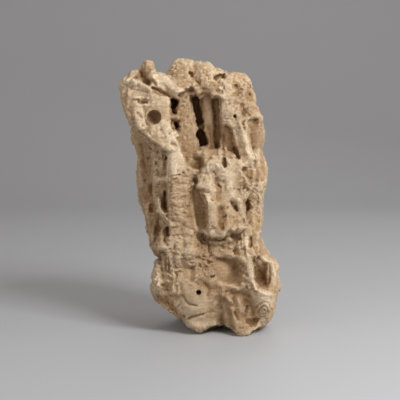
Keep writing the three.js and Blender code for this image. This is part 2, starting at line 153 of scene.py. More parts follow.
# Marks on the front: name, lift in mm (inwards below 0), half width in pixels, share of it that fades, paths.
BROAD_MARKS = [
    ("horn", 3.5, 6, 0.8, [(149, 64), (150, 71), (152, 77)]),
    ("outer rim", 1, 5, 1.0, [(126, 82), (131, 76), (138, 74)]),
    ("finger", 3.5, 6, 0.7, [(157, 79), (164, 80), (171, 85), (177, 91)]),
    ("crescent under the finger", -6, 4, 0.6, [(153, 89.5), (160, 91), (167, 94), (173, 97.5)]),
    ("groove by the finger", -2.5, 3, 1.0, [(167, 75), (173, 79), (180, 86), (184, 90)]),
    ("plate loop", 2, 4, 1.0, [(129, 91), (129, 102), (134, 107), (146, 107), (157, 105)]),
    ("hollow inside the loop", -2, 6, 1.0, [(137, 99), (146, 99)]),
    ("bright knobs of the plate", 3.5, 8, 0.9, [(162, 125), (167, 131), (171, 139), (176, 146)]),
    ("gap between the domes", -1.5, 2.6, 1.0, [(191, 68), (192, 80)]),
    ("rim of the first dome", 2.5, 3.0, 1.0, [(182, 62), (187, 70), (191, 80), (196, 90)]),
    ("cave over the slot", -6, 4.6, 0.6, [(192, 89), (194, 95)]),
    ("cave over the thin pillar", -4, 5, 0.8, [(204, 91), (209, 93)]),
    ("shoulder boss", 2, 9, 1.0, [(226, 87), (226, 96)]),
    ("shoulder dips", -4, 4.6, 1.0, [(236, 86), (238, 93)], [(248, 86), (250, 96)],
     [(243, 106), (245, 114)]),
    ("shoulder fall", -3, 6, 1.0, [(249, 92), (248, 100)]),
    ("jamb ridge", 1.5, 5, 1.0, [(240, 124), (243, 136), (247, 150)]),
    ("pale ridge", 3, 5, 1.0, [(248, 140), (249, 152), (250, 163)]),
    ("right rib", 3, 4, 1.0, [(259, 168), (259, 180), (260, 196)]),
    ("right rim", 4, 3.0, 1.0, [(244, 226), (246, 240), (247, 252), (249, 266), (252, 279), (256, 288),
      (263, 292), (271, 295)]),
    ("pocket under the corner", -4, 4, 0.8, [(235, 248), (237, 255)]),
    ("bank of the scoop", 3, 4, 1.0, [(243, 262), (247, 274), (250, 286)]),
    ("ledge", 3.5, 3.6, 1.0, [(220, 283), (228, 286), (236, 288), (244, 285)]),
    ("band over the cheek", -2, 6, 1.0, [(199, 283), (206, 286), (213, 289), (222, 291)]),
    ("valley by the keel", -4, 7, 1.0, [(220, 298), (222, 310), (225, 322)]),
    ("keel", 0.5, 3.4, 1.0, [(229, 300), (233, 308), (236, 317), (239, 326), (242, 334)]),
    ("heel hollow", -5, 5.5, 1.0, [(249, 322), (256, 321)]),
    ("right boss", 4, 10, 1.0, [(264, 298), (266, 308)]),
    ("boss groove", -2.5, 3.4, 0.9, [(163, 254), (165, 266), (167, 279)]),
    ("knobs by the strip", 3, 5, 1.0, [(157, 163), (157, 172)]),
    ("flank knob", 3.5, 3.6, 1.0, [(155.5, 183)]),
    ("shade by the little pillar", -4, 3, 0.9, [(152, 201), (152, 211)]),
    ("waist knob", 5, 5.5, 0.9, [(156, 245), (161, 248)]),
    ("shade under the waist", -5, 4.4, 0.9, [(161, 258), (157, 261)]),
    ("flank flutes", -4, 4, 1.0, [(149, 150), (150, 170), (151, 196)], [(140, 145), (142, 165)]),
    ("flank ridge", 2.5, 3.5, 1.0, [(141, 165), (141, 186)], [(144, 200), (149, 224)]),
    ("apron of that hollow", -2.5, 4, 0.9, [(191, 163), (195, 165)]),
    ("notch over the trough", -1.5, 3.4, 0.8, [(195.5, 175), (194.5, 181)]),
    ("column shoulder", 4, 9, 1.0, [(173, 154), (175, 172)]),
    ("foot of the trough", 2.5, 3.4, 1.0, [(199, 229), (206, 231), (214, 235), (223, 235)]),
    ("shade under the slab", -3, 5, 1.0, [(204, 240), (214, 242), (226, 240)]),
    ("left rim of the slab", 4, 4.6, 1.0,
     [(201, 176), (201, 187), (207, 197), (210, 208), (210, 220), (208, 229)]),
    ("pale band of the slab", 3, 6.5, 1.0, [(224, 168), (229, 182), (232, 195)]),
    ("valley of the slab", -3, 3.4, 0.9, [(216, 174), (217, 182), (219, 190), (219, 200)]),
    ("side pit of the slab", -4, 4, 0.8, [(232, 203), (235, 209)]),
    ("bowl of the slab", -4.5, 6, 0.9, [(221, 209), (222, 223)]),
    ("right corner of the slab", 3, 4.6, 1.0, [(238, 199), (241, 208), (243, 216), (245, 222), (240, 227)]),
    ("low groove", -4, 2.8, 1.0, [(209.5, 238), (210, 258)]),
    ("crumbled hollow", -2, 6, 1.0, [(202, 247), (203, 268)]),
    ("bright patch", 2.5, 6.5, 0.7, [(188, 250)]),
    ("ridge of the column foot", 2.5, 4.5, 1.0, [(179, 244), (179, 262), (180, 282)]),
    ("edge of the crumbled patch", -3, 3.2, 1.0, [(191, 266), (192, 280)]),
    ("cheek edge", -2.5, 3, 1.0, [(205, 284), (210, 290), (208, 295)]),
    ("underside of the left boss", -5, 7, 0.9, [(158, 298), (166, 303), (174, 311)]),
    ("left boss", 4, 5, 1.0, [(157, 265), (156, 276), (158, 286)]),
    ("outer wall of the pocket", 3, 4.4, 1.0, [(258, 256), (268, 261), (273, 272), (273, 284)]),
    ("foot", 3, 6, 1.0, [(190, 324), (198, 326)]),
]

# Levels of the front: name, whether it is filled up to, cut down to or both, half width in pixels, share of
# it that fades, path of pixels with the depth that is wanted there, in mm in front of the view's target.
LEVELS = [
    ("plate", "fill", 8, 0.6, [(136, 100, 66), (138, 112, 69), (142, 124, 70)]),
    ("outer rim", "fill", 7, 1.0, [(124, 84, 52), (131, 78, 54), (138, 73, 50)]),
    ("hollow behind the horn", "both", 5, 0.6, [(141, 72, 37), (142, 77, 39), (147.5, 82, 45)]),
    ("gap between the domes", "fill", 4, 0.8, [(190.5, 64, 46), (192, 79, 57)]),
    ("place of the round boring", "fill", 9, 0.3, [(153.8, 117, 72)]),
    ("shoulder notch", "cut", 3.4, 0.4, [(216, 78, 45), (218, 76.4, 45), (223, 76.2, 45)]),
    ("upper slot", "cut", 5, 0.2, [(195, 100, 20), (197, 110, 20), (199.6, 121, 20)]),
    ("bridge of the slot", "cut", 4.6, 0.3, [(200, 126, 31), (200.4, 127.5, 31)]),
    ("lower slot", "cut", 5.6, 0.15, [(200.2, 134, 14), (203, 142, 14)]),
    ("second slot", "cut", 5.2, 0.6,
     [(216.8, 100, 42), (217, 122, 40), (216.5, 140, 34), (216.5, 147, 29)]),
    ("foot of the thin pillar", "cut", 5.5, 1.0, [(208, 130, 43), (212, 146, 36)]),
    ("jamb recess", "both", 6, 0.4, [(227, 130, 49), (228.5, 140, 47), (231, 149, 45)]),
    ("bottom of the jamb recess", "cut", 3.4, 0.5, [(235.5, 149, 42), (237.8, 157.5, 42)]),
    ("top of the broad pillar", "cut", 4, 0.5, [(181, 96, 53), (188, 93, 53)]),
    ("upper left notch", "cut", 3.9, 0.2, [(173.2, 101, 30), (173.8, 106, 30)]),
    ("foot of that notch", "cut", 2.4, 0.3, [(174, 108, 36), (174.2, 112, 40)]),
    ("bridge of the notches", "fill", 4.4, 0.9, [(171, 117, 66), (176, 117.5, 61)]),
    ("lower left notch", "cut", 3, 0.8, [(175.6, 123.5, 35), (177, 127, 37)]),
    ("column shoulder", "fill", 5.5, 0.6, [(174.5, 150, 71.5), (179, 158, 71.5), (184, 167, 70)]),
    ("edge under the pillar", "fill", 3.4, 0.5,
     [(171.5, 133, 73), (174, 141, 73), (177.5, 150, 72), (182.5, 159, 71)]),
    ("lip of the apron", "fill", 2.8, 0.9, [(187, 164, 69), (191, 168, 67), (197, 171, 66)]),
    ("nub over the trough", "fill", 5, 0.7, [(200, 154.5, 62), (205, 155, 66), (206, 159, 67)]),
    ("hollow over the trough", "both", 5.6, 1.0, [(192, 162.5, 60), (196, 163.5, 57), (199, 164.5, 56)]),
    ("apron of that hollow", "both", 4.5, 0.7, [(190, 162, 60), (195, 164, 56)]),
    ("right trough", "fill", 8, 0.7, [(256, 118, 45), (256.5, 134, 44), (256.5, 148, 44), (256, 158, 46)]),
    ("right rib", "fill", 5, 0.8, [(257.5, 158, 44), (258, 168, 44)]),
    ("pocket in the right row", "cut", 3.6, 0.4, [(244.5, 169.5, 46), (247.5, 175, 45), (251, 181, 48)]),
    ("right side", "fill", 8.5, 0.45, [(254.5, 189, 49), (255, 196, 46), (255.5, 212, 41), (256, 230, 40)]),
    ("right row by the corner", "fill", 6, 0.6, [(250, 214, 45), (251.5, 228, 46)]),
    ("upper right pocket", "cut", 4.4, 0.8, [(247.2, 203, 37), (247.6, 209, 40)]),
    ("side by the rim", "fill", 4.5, 0.5, [(255.5, 233, 45), (256, 250, 43)]),
    ("slot by the rim", "cut", 2.4, 0.5, [(250.8, 238, 42), (250.6, 246, 42)]),
    ("foot of the trough's left wall", "fill", 4, 1.0,
     [(191, 205, 60), (192.5, 215, 59.5), (194.5, 224, 59.5), (196.5, 230, 61)]),
    ("left wall of the trough", "cut", 3, 0.9, [(191, 192, 57), (192, 203, 57)]),
    ("trough", "fill", 6.5, 0.35, [(196.5, 192, 55), (199, 205, 53), (201, 217, 52), (201.5, 227, 54)]),
    ("edge of the trough", "cut", 2.4, 0.2, [(202, 196, 57), (204, 206, 54), (204, 226, 54)]),
    ("over the trough", "fill", 3, 0.8, [(193, 184, 61)]),
    ("left knob of the slab", "fill", 4.4, 0.7, [(199, 186, 68), (203, 186.5, 70), (207, 186, 71)]),
    ("over the left knob", "fill", 5, 0.9, [(201, 178, 68), (206, 178, 69)]),
    ("top left of the slab", "fill", 5, 0.7, [(204, 170, 70), (209, 166, 72), (214, 161, 73)]),
    ("hump of the slab", "fill", 12, 1.0, [(216, 166, 73), (224, 163, 75), (233, 167, 74)]),
    ("space under the slab", "cut", 4.2, 0.4, [(199, 236.5, 48), (206, 240, 47), (212, 242, 48)]),
    ("corner pocket", "cut", 2.6, 1.0, [(235.5, 235.5, 46), (237, 235.5, 46)]),
    ("scoop", "both", 14, 0.8, [(209, 270, 51), (214, 270, 49), (219, 270, 46.5), (224, 270, 44),
      (229, 270, 41), (234, 271, 38), (237, 271, 39), (240, 271, 44), (244, 271, 53), (248, 271, 58)]),
    ("shade under the ledge", "both", 6, 1.0, [(228, 292.5, 44), (236, 294, 42), (248, 297, 37)]),
    ("low scoop", "fill", 7.5, 0.8, [(245, 299, 36), (247, 307, 33), (248, 315, 32)]),
    ("low middle", "fill", 8, 1.0, [(238, 300, 42), (240, 310, 40)]),
    ("left face of the keel", "both", 6, 0.8,
     [(225.5, 302, 43), (227, 311, 37), (228.5, 320, 32), (230, 328, 30)]),
    ("right pocket", "both", 9.4, 0.85,
     [(259.5, 262, 35), (260.5, 267, 30), (261.5, 274, 23), (262, 280, 20), (263.5, 283, 24)]),
    ("outer wall of the pocket", "fill", 4, 0.9,
     [(262, 257.5, 38), (266, 260.5, 36), (271.5, 263.5, 33), (273, 270, 33), (273.5, 280, 34)]),
    ("fill of the flank pocket", "fill", 5, 0.5, [(160, 155, 61), (161, 168, 59), (160.5, 176, 52)]),
    ("outer flank", "fill", 5, 1.0, [(150, 150, 32), (150, 170, 31), (150, 182, 31)]),
    ("crumbled flank", "both", 6, 0.8, [(155.5, 153, 51), (155.5, 165, 47), (155.5, 178, 47)]),
    ("flank strip", "both", 3.6, 1.1, [(164.4, 152, 60), (164.8, 161, 58.5), (163.2, 171, 58)]),
    ("shade over the flank slot", "cut", 4, 0.8, [(156, 191, 43), (161.5, 195, 41)]),
    ("flank slot", "cut", 2.2, 0.5, [(165, 192, 32), (165.6, 206, 32)]),
    ("low flank pocket", "both", 4.5, 1.0, [(163, 222, 46), (165.5, 231, 45), (165, 240, 49)]),
    ("hole in the low pocket", "cut", 2.6, 0.7, [(167.5, 228, 40), (168.6, 235, 36)]),
    ("outer flank pocket", "cut", 3.4, 1.0, [(156, 224, 34), (155.5, 240, 31)]),
    ("knobs under the flank pocket", "fill", 5, 0.8, [(156, 181, 50), (161, 179, 56), (166.5, 179, 63)]),
    ("under the edge of the right trough", "cut", 3.6, 0.7, [(254, 121.5, 41), (258.5, 121, 39)]),
    ("upper part of the slab", "fill", 8, 1.0, [(217, 174, 70), (224, 174, 73), (232, 174, 73)]),
    ("little pillar", "fill", 4.6, 1.0,
     [(159.5, 200, 50), (160, 208, 51), (163, 215, 55), (168, 220, 59), (171.5, 225, 63)]),
    ("column's left foot", "fill", 6, 1.0,
     [(171, 254, 55), (172.5, 266, 52), (172.5, 278, 50), (174, 291, 49)]),
    ("left boss", "fill", 6, 0.8, [(158.5, 262, 40), (158.5, 276, 44), (160, 286, 44)]),
    ("groove by the left boss", "fill", 3.2, 0.8, [(163.4, 255, 47), (163.6, 268, 45), (165, 281, 43)]),
    ("right side of the rim", "cut", 2.6, 0.8, [(253, 259, 39), (254.2, 266, 32), (255.2, 274, 27)]),
    ("between the knobs", "fill", 5, 1.0, [(200.5, 182, 68.5), (206, 182, 70)]),
    ("under the round boring", "fill", 7, 1.0, [(152, 127, 72), (152, 134, 72)]),
    ("crack of the hump", "both", 1.7, 0.9, [(223, 153.5, 69.5), (224, 160, 70.5), (224.4, 166, 71.5)]),
    ("below the lower left notch", "fill", 3, 0.6, [(174.5, 131.5, 66), (176.5, 136, 66)]),
    ("wall by the left boss", "fill", 3.6, 1.0, [(167, 257, 51), (167.6, 270, 48), (168, 283, 46)]),
    ("under the middle of the slab", "fill", 4.6, 1.0, [(211, 242, 49), (218, 242.5, 51), (226, 242, 51)]),
    ("top of the upper left notch", "cut", 5.2, 0.4, [(174, 102, 33), (173.6, 106, 33)]),
    ("trough's right wall", "cut", 2.4, 0.6,
     [(205, 196, 58), (206.4, 204, 57), (206.6, 212, 57), (206.6, 224, 57)]),
    ("right of the flank strip", "fill", 3, 1.0, [(168.4, 160, 68), (167.6, 168, 67), (166.4, 177, 65)]),
    ("left edge of the column", "fill", 3.4, 0.8, [(169.8, 193, 62), (169.6, 206, 62), (170.5, 216, 62)]),
    ("left lobe over the trough", "fill", 2.6, 1.0, [(187.5, 167.5, 68), (189.5, 169.5, 68)]),
    ("knob over the trough", "fill", 2.6, 1.0, [(193.5, 172.5, 66), (195.5, 173, 66)]),
    ("spike by the second slot", "cut", 4.0, 0.9, [(222.2, 136, 41), (222.8, 143, 41), (222.8, 150, 44)]),
    ("under the right of the slab", "fill", 3.6, 1.0, [(226, 241, 54), (231, 240.5, 53)]),
    ("right of the corner pocket", "fill", 2.8, 1.0, [(241.8, 233, 54), (242, 246, 55)]),
    ("upper right pocket's foot", "cut", 2.2, 0.8, [(246.5, 208, 46), (247.5, 219, 49)]),
    ("edge of the column at the knobs", "fill", 3, 1.0, [(168.5, 178, 66), (169.5, 184, 66)]),
    ("lower edge of the slab", "cut", 2.2, 0.6, [(207, 237, 48), (213, 238.8, 48), (221, 238.3, 50)]),
    ("foot of the bowl", "both", 3.4, 1.0, [(221, 221, 62), (221.5, 228, 62.5)]),
    ("left of the corner pocket", "fill", 3.4, 1.0, [(227, 238.5, 56), (230, 239, 56)]),
    ("knob under the round boring", "fill", 7, 1.0, [(157.5, 130, 72.5), (160, 136, 73)]),
    ("below the flank slot", "fill", 3.6, 1.0, [(158, 211.5, 52), (164, 214, 57), (170, 212.5, 62)]),
    ("left edge of the cheek", "fill", 3, 1.0, [(178.4, 280, 50), (178.8, 294, 47.5)]),
    ("under the corner pocket", "fill", 3.4, 1.0, [(238.5, 243.5, 54), (239.5, 248, 54)]),
    ("hump's left edge", "fill", 2.8, 1.0, [(205, 161, 69), (204, 170, 69)]),
    ("slope of the pocket", "fill", 5, 1.0,
     [(267.5, 262, 33), (267.5, 270, 31), (268, 278, 29), (269.5, 284, 30)]),
    ("below the shoulder", "both", 5, 1.0, [(226, 98.5, 66.5), (233, 99.5, 66), (242, 101, 64)]),
]

# Edges that stand proud on the right of their path, as it is walked: name, lift in mm, reach in pixels, path.
LEDGES = [
    ("lower edge of the plate", 6, 11,
     [(169, 150), (163, 147), (155, 143), (149, 140), (143, 135), (137, 129), (133, 122), (129, 114),
      (126, 107)]),
    ("upper edge of the scoop", 3, 7,
     [(240, 260), (236, 257), (231, 258), (226, 254.5), (221, 256), (215, 255)]),
    ("lower edge of the slab", 3.5, 6,
     [(247, 221), (245, 226), (240, 228), (238, 232), (234, 231), (231, 227), (226, 230), (223, 235),
      (215, 237), (211, 233.5), (205, 231), (198, 229.5)]),
    ("left edge of the slab", 4.5, 7,
     [(205, 229), (204.5, 222), (206, 216), (209, 210), (208, 204), (204.5, 198), (200, 192),
      (196.5, 189)]),
    ("upper edge of the hump", 3, 12,
     [(211, 161), (216, 154), (222, 151.5), (229, 152), (234, 157), (238, 162)]),
    ("upper right edge of the slab", 4, 7, [(238, 162), (244, 172), (251, 183)]),
    ("edge over the right trough", 5, 7, [(262, 117), (256, 116), (250, 119)]),
    ("upper edge of the jamb recess", 3, 6, [(232, 125), (227, 123), (222, 124)]),
    ("right edge of the jamb recess", 3, 5, [(231, 122), (234, 132), (237, 145), (239.5, 158)]),
    ("jamb", 3, 5, [(220.8, 99), (221, 112), (221.3, 124)]),
    ("lintel", 4, 6, [(222, 99), (214, 97), (208, 94), (201, 97), (196, 97), (192, 86), (187, 88.5),
      (181, 92), (177, 97), (170, 98)]),
    ("foot bevel", 1.0, 8, [(186, 317), (196, 317), (205, 313), (214, 311)]),
]

# Smaller marks, cut after the levels.
FINE_MARKS = [
    ("slit", -4.5, 1.8, 0.6, [(139, 101.3), (146, 102.5)]),
    ("roof of the slit", 2.5, 1.8, 1.0, [(135, 98.5), (141, 97.5), (148, 98.5)]),
    ("sill of the slit", 2, 1.8, 1.0, [(136, 105), (146, 105.5)]),
    ("lines of the plate", -1.8, 1.6, 1.0, [(131, 89), (140, 90), (147, 92)], [(133, 100), (139, 100.5)]),
    ("pale streak", 2.5, 3, 1.0, [(131, 81), (139, 83), (146, 87), (152, 91)]),
    ("dark left edge", -2, 2.6, 1.0, [(126, 90), (124, 97), (124, 104)]),
    ("rim knobs", 2.5, 3.4, 1.0, [(132, 74)], [(136, 83)], [(128, 81)]),
    ("plate knobs", 1.8, 2.6, 1.0, [(158, 128)], [(166, 124)], [(163, 136)], [(171, 131)], [(153, 103)]),
    ("plate pits", -2.2, 2, 0.9, [(161, 130)], [(169, 134)], [(137, 113), (142, 118)],
     [(131, 127), (134, 130)], [(168, 120)], [(150, 134)], [(142, 126)]),
    ("dome pit", -5, 3.0, 0.7, [(190.5, 73), (192, 75)]),
    ("dome pits", -2.2, 1.8, 0.9, [(172, 76)], [(178, 84)], [(203, 82)], [(196, 80), (198, 84)],
     [(206, 75)], [(184, 77)], [(175, 68)]),
    ("tooth between the caves", 2.5, 2.4, 1.0, [(198, 88), (198, 95)]),
    ("rim of the notch", 1.8, 2, 1.0, [(211, 73), (213, 80), (217, 85)], [(211, 72), (226, 73)],
     [(226, 76), (221, 82)]),
    ("striations of the second dome", -1.6, 1.2, 1.0, [(199, 72), (200, 87)], [(203, 70), (205, 86)],
     [(207, 71), (209, 87)]),
    ("shoulder pits", -2.4, 2.2, 0.9, [(236, 86)], [(249, 88)], [(252, 94)], [(235, 94)], [(247, 108)],
     [(249, 115)], [(240, 98)], [(229, 104)], [(244, 79)]),
    ("jamb lines", -1.4, 1.3, 1.0, [(221, 118), (231, 119)], [(222, 121), (229, 121.5)]),
    ("jamb pits", -3, 2, 0.9, [(243.5, 123), (245, 130)], [(239, 128)]),
    ("knob by the trough", 2.5, 3, 1.0, [(254, 170), (253, 178)]),
    ("pits of the right row", -2, 2.1, 1.0, [(244, 187)], [(252, 193)], [(257, 203)], [(258, 241)],
     [(248, 190)], [(259, 222)], [(243, 170)], [(257, 248)]),
    ("knobs of the right row", 2.2, 2.4, 1.0, [(246, 183)], [(250, 188)], [(241, 192)], [(256, 188)],
     [(258, 196)], [(252, 205)], [(253, 222)], [(260, 232)]),
    ("bank grooves", -1.6, 1.5, 1.0, [(241, 264), (246, 269)], [(240, 270), (248, 277)],
     [(243, 278), (249, 283)]),
    ("bank pit", -3, 2, 0.9, [(247, 287)]),
    ("bank knob", 3, 2.8, 1.0, [(242, 284)]),
    ("keel pit", -3.5, 2.6, 0.9, [(235, 313), (238, 319)]),
    ("keel knob", 3, 2.2, 1.0, [(227, 298), (231, 302)]),
    ("low pits", -3, 2.2, 0.9, [(247, 307), (246, 311)], [(232, 306)]),
    ("arcs of the right boss", -1.8, 1.4, 1.0,
     [(256, 308), (259, 304), (264, 302), (269, 304), (271, 309)],
     [(258, 313), (260, 308), (264, 306), (267, 308), (268, 313)],
     [(259, 318), (263, 317), (268, 314), (272, 310)]),
    ("pit of the right boss", -2.5, 1.7, 0.9, [(264.5, 310)]),
    ("toe line", -1.8, 1.6, 1.0, [(240, 328), (248, 327), (256, 325)]),
    ("crescent scar", -3, 2.0, 1.0, [(183, 296), (186, 301), (190, 305), (196, 306)]),
    ("foot cracks", -4, 2.0, 0.9, [(189, 318.5), (191, 317), (197, 316.5), (203, 315)],
     [(178, 314), (184, 317)]),
    ("foot line", -1.2, 1.4, 1.0, [(203, 314), (209, 312), (216, 312)]),
    ("column cracks", -1.6, 1.2, 1.0, [(181, 259), (190, 260), (200, 259), (207, 261)],
     [(178, 249), (184, 258)], [(169, 205), (180, 207), (190, 206)], [(168, 190), (178, 191), (190, 192)],
     [(171, 176), (179, 175.5), (190, 177)], [(168, 183), (176, 184), (186, 183)],
     [(168, 214), (178, 215), (188, 218)], [(172, 228), (184, 226), (192, 229)],
     [(169, 198), (177, 199), (186, 197)], [(171, 221), (180, 222)], [(172, 236), (186, 234)]),
    ("column pits", -2.2, 1.6, 0.9, [(183, 212), (185, 213)], [(188, 217), (191, 217)],
     [(181, 226), (184, 225)], [(176, 197)], [(179, 175)], [(171, 219), (174, 220)], [(186, 208)]),
    ("flank pits", -2.5, 2, 0.9, [(156, 163)], [(160, 158)], [(153, 171)], [(161, 175)], [(148, 158)],
     [(145, 180)], [(150, 204)], [(156, 192)]),
    ("flank knobs", 2.2, 2.6, 1.0, [(158, 168)], [(156, 176)], [(150, 163)], [(160, 186)], [(147, 190)],
     [(152, 218)]),
    ("boss pits", -2.8, 2, 0.9, [(163, 285)], [(171, 296)], [(152, 276)], [(172, 279)], [(168, 258)],
     [(159, 272)]),
    ("boss line", -1.4, 1.7, 1.0, [(154, 284), (162, 289), (172, 290)]),
    ("boss knobs", 2.5, 2.6, 1.0, [(156, 269)], [(156, 279)], [(153, 262)], [(176, 270)], [(177, 284)]),
    ("patch pits", -2.6, 1.9, 0.9, [(211.5, 277)], [(191, 268)], [(212, 262)], [(198, 246)]),
    ("patch knobs", 2.3, 2.2, 1.0, [(215, 248)], [(200, 268)], [(190, 264)], [(222, 250)], [(230, 247)],
     [(214, 268)], [(200, 256)], [(207, 265)], [(226, 245)], [(196, 276)]),
    ("slab pits", -2.5, 1.9, 0.8, [(214, 172), (216, 174)], [(218, 184), (220, 187)], [(243, 189)],
     [(223, 218), (226, 216)], [(208, 222)], [(209, 211)], [(234, 222)], [(212, 200)], [(227, 208)]),
    ("hole of the slab", -4, 2.4, 0.7, [(235.5, 207), (236.5, 210)]),
    ("slab knobs", 2, 2.4, 1.0, [(212, 163)], [(239, 220)], [(229, 225)], [(213, 214)], [(227, 188)],
     [(221, 196)]),
    ("small nub", 2, 4, 0.9, [(205, 153)]),
    ("nub dent", -2.2, 2, 0.9, [(206, 153)]),
    ("crack of the hump", -4, 2.6, 0.9, [(224, 154), (224.5, 166)]),
    ("crescent under the finger", -3, 2.0, 0.9, [(152, 88.5), (158, 90), (165, 93.5), (171, 96.5)]),
    ("under the plate", -3, 3, 1.0, [(139, 132), (147, 139), (155, 146)]),
    ("start of the finger", -3, 2.5, 1.0, [(151, 79), (156, 85)]),
    ("outer flank pits", -3, 3, 1.0, [(150, 201), (151, 211)]),
    ("pit of the plate rim", 3.4, 3.4, 1.0, [(130, 84), (135, 84)]),
    ("pit over the scoop", -2.6, 2.2, 0.9, [(234, 251), (235.5, 254)]),
    ("pits under the middle", -3, 2, 0.9, [(213, 277)], [(209, 262)], [(204, 257)], [(200, 266)]),
    ("pits under the pinhole boring", -3, 2.1, 0.9, [(243.5, 122), (244.5, 128)]),
    ("pits by the upper outline", -2.6, 2.1, 0.9, [(244, 85)], [(241, 90)], [(249, 91), (250, 95)]),
    ("crescent under the knob", -2.4, 2, 0.9, [(171.5, 144), (176.5, 145.5)]),
    ("slab strands", 1.7, 2.4, 1.0, [(207, 168), (211, 178), (210, 190)],
     [(209, 205), (211, 216), (210, 227)]),
    ("ragged top of the hump", 2.2, 2.2, 0.9, [(214, 157)], [(219, 153)], [(228, 153)], [(233, 158)],
     [(229, 163)], [(218, 165)]),
    ("pits of the slab's right", -1.7, 2, 0.9, [(240, 186)], [(243.5, 189)], [(238, 190)], [(234, 189)]),
    ("pits of the column's top", -3, 2.1, 0.9, [(178, 171)], [(183, 173)], [(174, 179)]),
    ("knob of the shoulder", 4, 3.4, 1.0, [(220, 89)]),
    ("knob under the rim", 2.4, 3, 1.0, [(259, 294)]),
    ("top of the right trough", -2.2, 3.6, 1.0, [(255.5, 121), (257, 128)]),
    ("knob of the slab band", 2, 2.6, 1.0, [(222, 179)]),
    ("shoulder grain", -1.3, 1.8, 0.9, [(229, 101)], [(236, 99)], [(242, 96)], [(226, 107)], [(238, 105)]),
]

# Borings: name, pixel of the middle, radius and depth in mm.
BORINGS = [
    ("round boring", (153.8, 117.2), 8.0, 14),
    ("pinhole of the cheek", (198.6, 292.6), 2.9, 16),
    ("pinhole of the jamb", (234.8, 116.2), 1.9, 12),
]

# Worn hollows under the front: name, middle and radii in mm.
UNDERCUTS = [
    ("arch between the feet", (20.5, -50, -8), (24, 42, 19)),
    ("under the right boss", (73, -54, -4), (23, 44, 15)),
]

# Bumps and dents of the outline, written as the marks on the front are.
OUTLINE = [
    ("top left corner", 3, 4, 0.9, [(118, 84)]),
    ("fall above that corner", -1.5, 5, 0.9, [(124, 78)]),
    ("saddle by the horn", -2.5, 5, 0.8, [(159, 70), (165, 72)]),
    ("edge of the arch", 3.5, 7, 0.8, [(213, 322), (221, 322)]),
    ("outer wall", 4, 6, 0.9, [(272, 262), (275, 268)], [(280, 287)]),
    ("dent of the outer wall", -2.5, 3, 0.9, [(277, 277)]),
    ("right shoulder", -2, 3, 0.9, [(257, 104)]),
    ("right rim", 1.5, 3, 0.9, [(262, 118)]),
    ("waist", -5, 4.5, 0.8, [(154, 258)]),
    ("left boss", -3, 4.5, 0.9, [(150, 281)]),
    ("flank", -1.5, 3, 0.9, [(138, 190)], [(145, 210)], [(131, 127)]),
    ("flank bumps", 1.5, 3, 0.9, [(138, 172)], [(141, 204)], [(148, 228)], [(150, 246)]),
    ("second dome", 3, 5, 0.9, [(192.5, 63), (195, 61)]),
    ("horn", -3.5, 5, 0.9, [(149, 59)]),
    ("end of the second dome", -1.2, 5, 0.9, [(203, 60)]),
    ("lower left", -4.5, 9, 0.9, [(158, 308), (168, 316), (178, 323)]),
    ("left foot", 5.5, 4, 0.9, [(191, 332)]),
    ("right foot", -5, 5, 0.9, [(249, 337)]),
    ("top of the outer wall", 1.5, 4, 0.9, [(277, 263)]),
    ("foot of the horn", -1.8, 4, 0.9, [(158, 69)]),
]

# Where the skin is calm: name, share of the full roughness, reach in pixels, paths.
CALM = [
    ("cheek", 0.12, 22, [(196, 290), (202, 306), (218, 314)]),
    ("scoop", 0.2, 14, [(226, 266), (228, 278)]),
    ("low scoop, low middle and right pocket", 0.3, 9, [(249, 298), (252, 312)], [(236, 298), (240, 308)],
     [(262, 268), (262, 280)]),
    ("trough", 0.2, 8, [(196, 194), (201, 226)]),
    ("window", 0.2, 15, [(207, 104), (214, 142)]),
    ("plate", 0.45, 20, [(145, 98), (160, 108), (158, 122)]),
    ("finger and slab band", 0.5, 8, [(158, 79), (176, 90)], [(228, 172), (231, 190)]),
    ("flank", 0.5, 9, [(142, 150), (146, 190), (152, 230)]),
    ("bright patch", 0.15, 6, [(188, 250)]),
    ("bright shoulder", 0.35, 10, [(174, 150), (176, 168)]),
    ("slab bowl", 0.4, 7, [(222, 212), (222, 224)]),
    ("recess", 0.4, 9, [(228, 130), (232, 150)]),
    ("right trough", 0.4, 7, [(256, 124), (256, 146)]),
    ("boss top", 0.35, 8, [(260, 296), (266, 300)]),
    ("jamb ridge", 0.35, 7, [(238, 128), (242, 146)]),
]

# Where it is crumbled: name, share of the crumbs' full height, reach in pixels, paths.
CRUMBLED = [
    ("patch", 1.0, 13, [(204, 246), (202, 268), (198, 280)]),
    ("column foot and little pillar", 1.0, 6, [(172, 252), (172, 286)], [(158, 200), (164, 213)]),
    ("left boss", 0.8, 7, [(156, 264), (157, 284)]),
    ("foot of the slab", 0.8, 12, [(212, 202), (217, 222), (236, 222)]),
    ("right row", 1.0, 9, [(249, 168), (250, 190), (254, 210)]),
    ("first dome", 0.9, 11, [(177, 72), (180, 84)]),
    ("flank", 1.0, 8, [(156, 154), (157, 182)]),
    ("shoulder", 0.8, 11, [(242, 86), (247, 108)]),
    ("under the slab", 0.8, 7, [(216, 247), (240, 244)]),
    ("right boss", 0.4, 8, [(262, 306), (264, 316)]),
]

# Where thin uneven beds show: name, share of their full height, reach in pixels, paths.
BANDED = [
    ("column", 1.0, 15, [(178, 178), (180, 205), (181, 232), (180, 250)]),
    ("shoulder", 0.3, 22, [(238, 92), (240, 112)]),
]
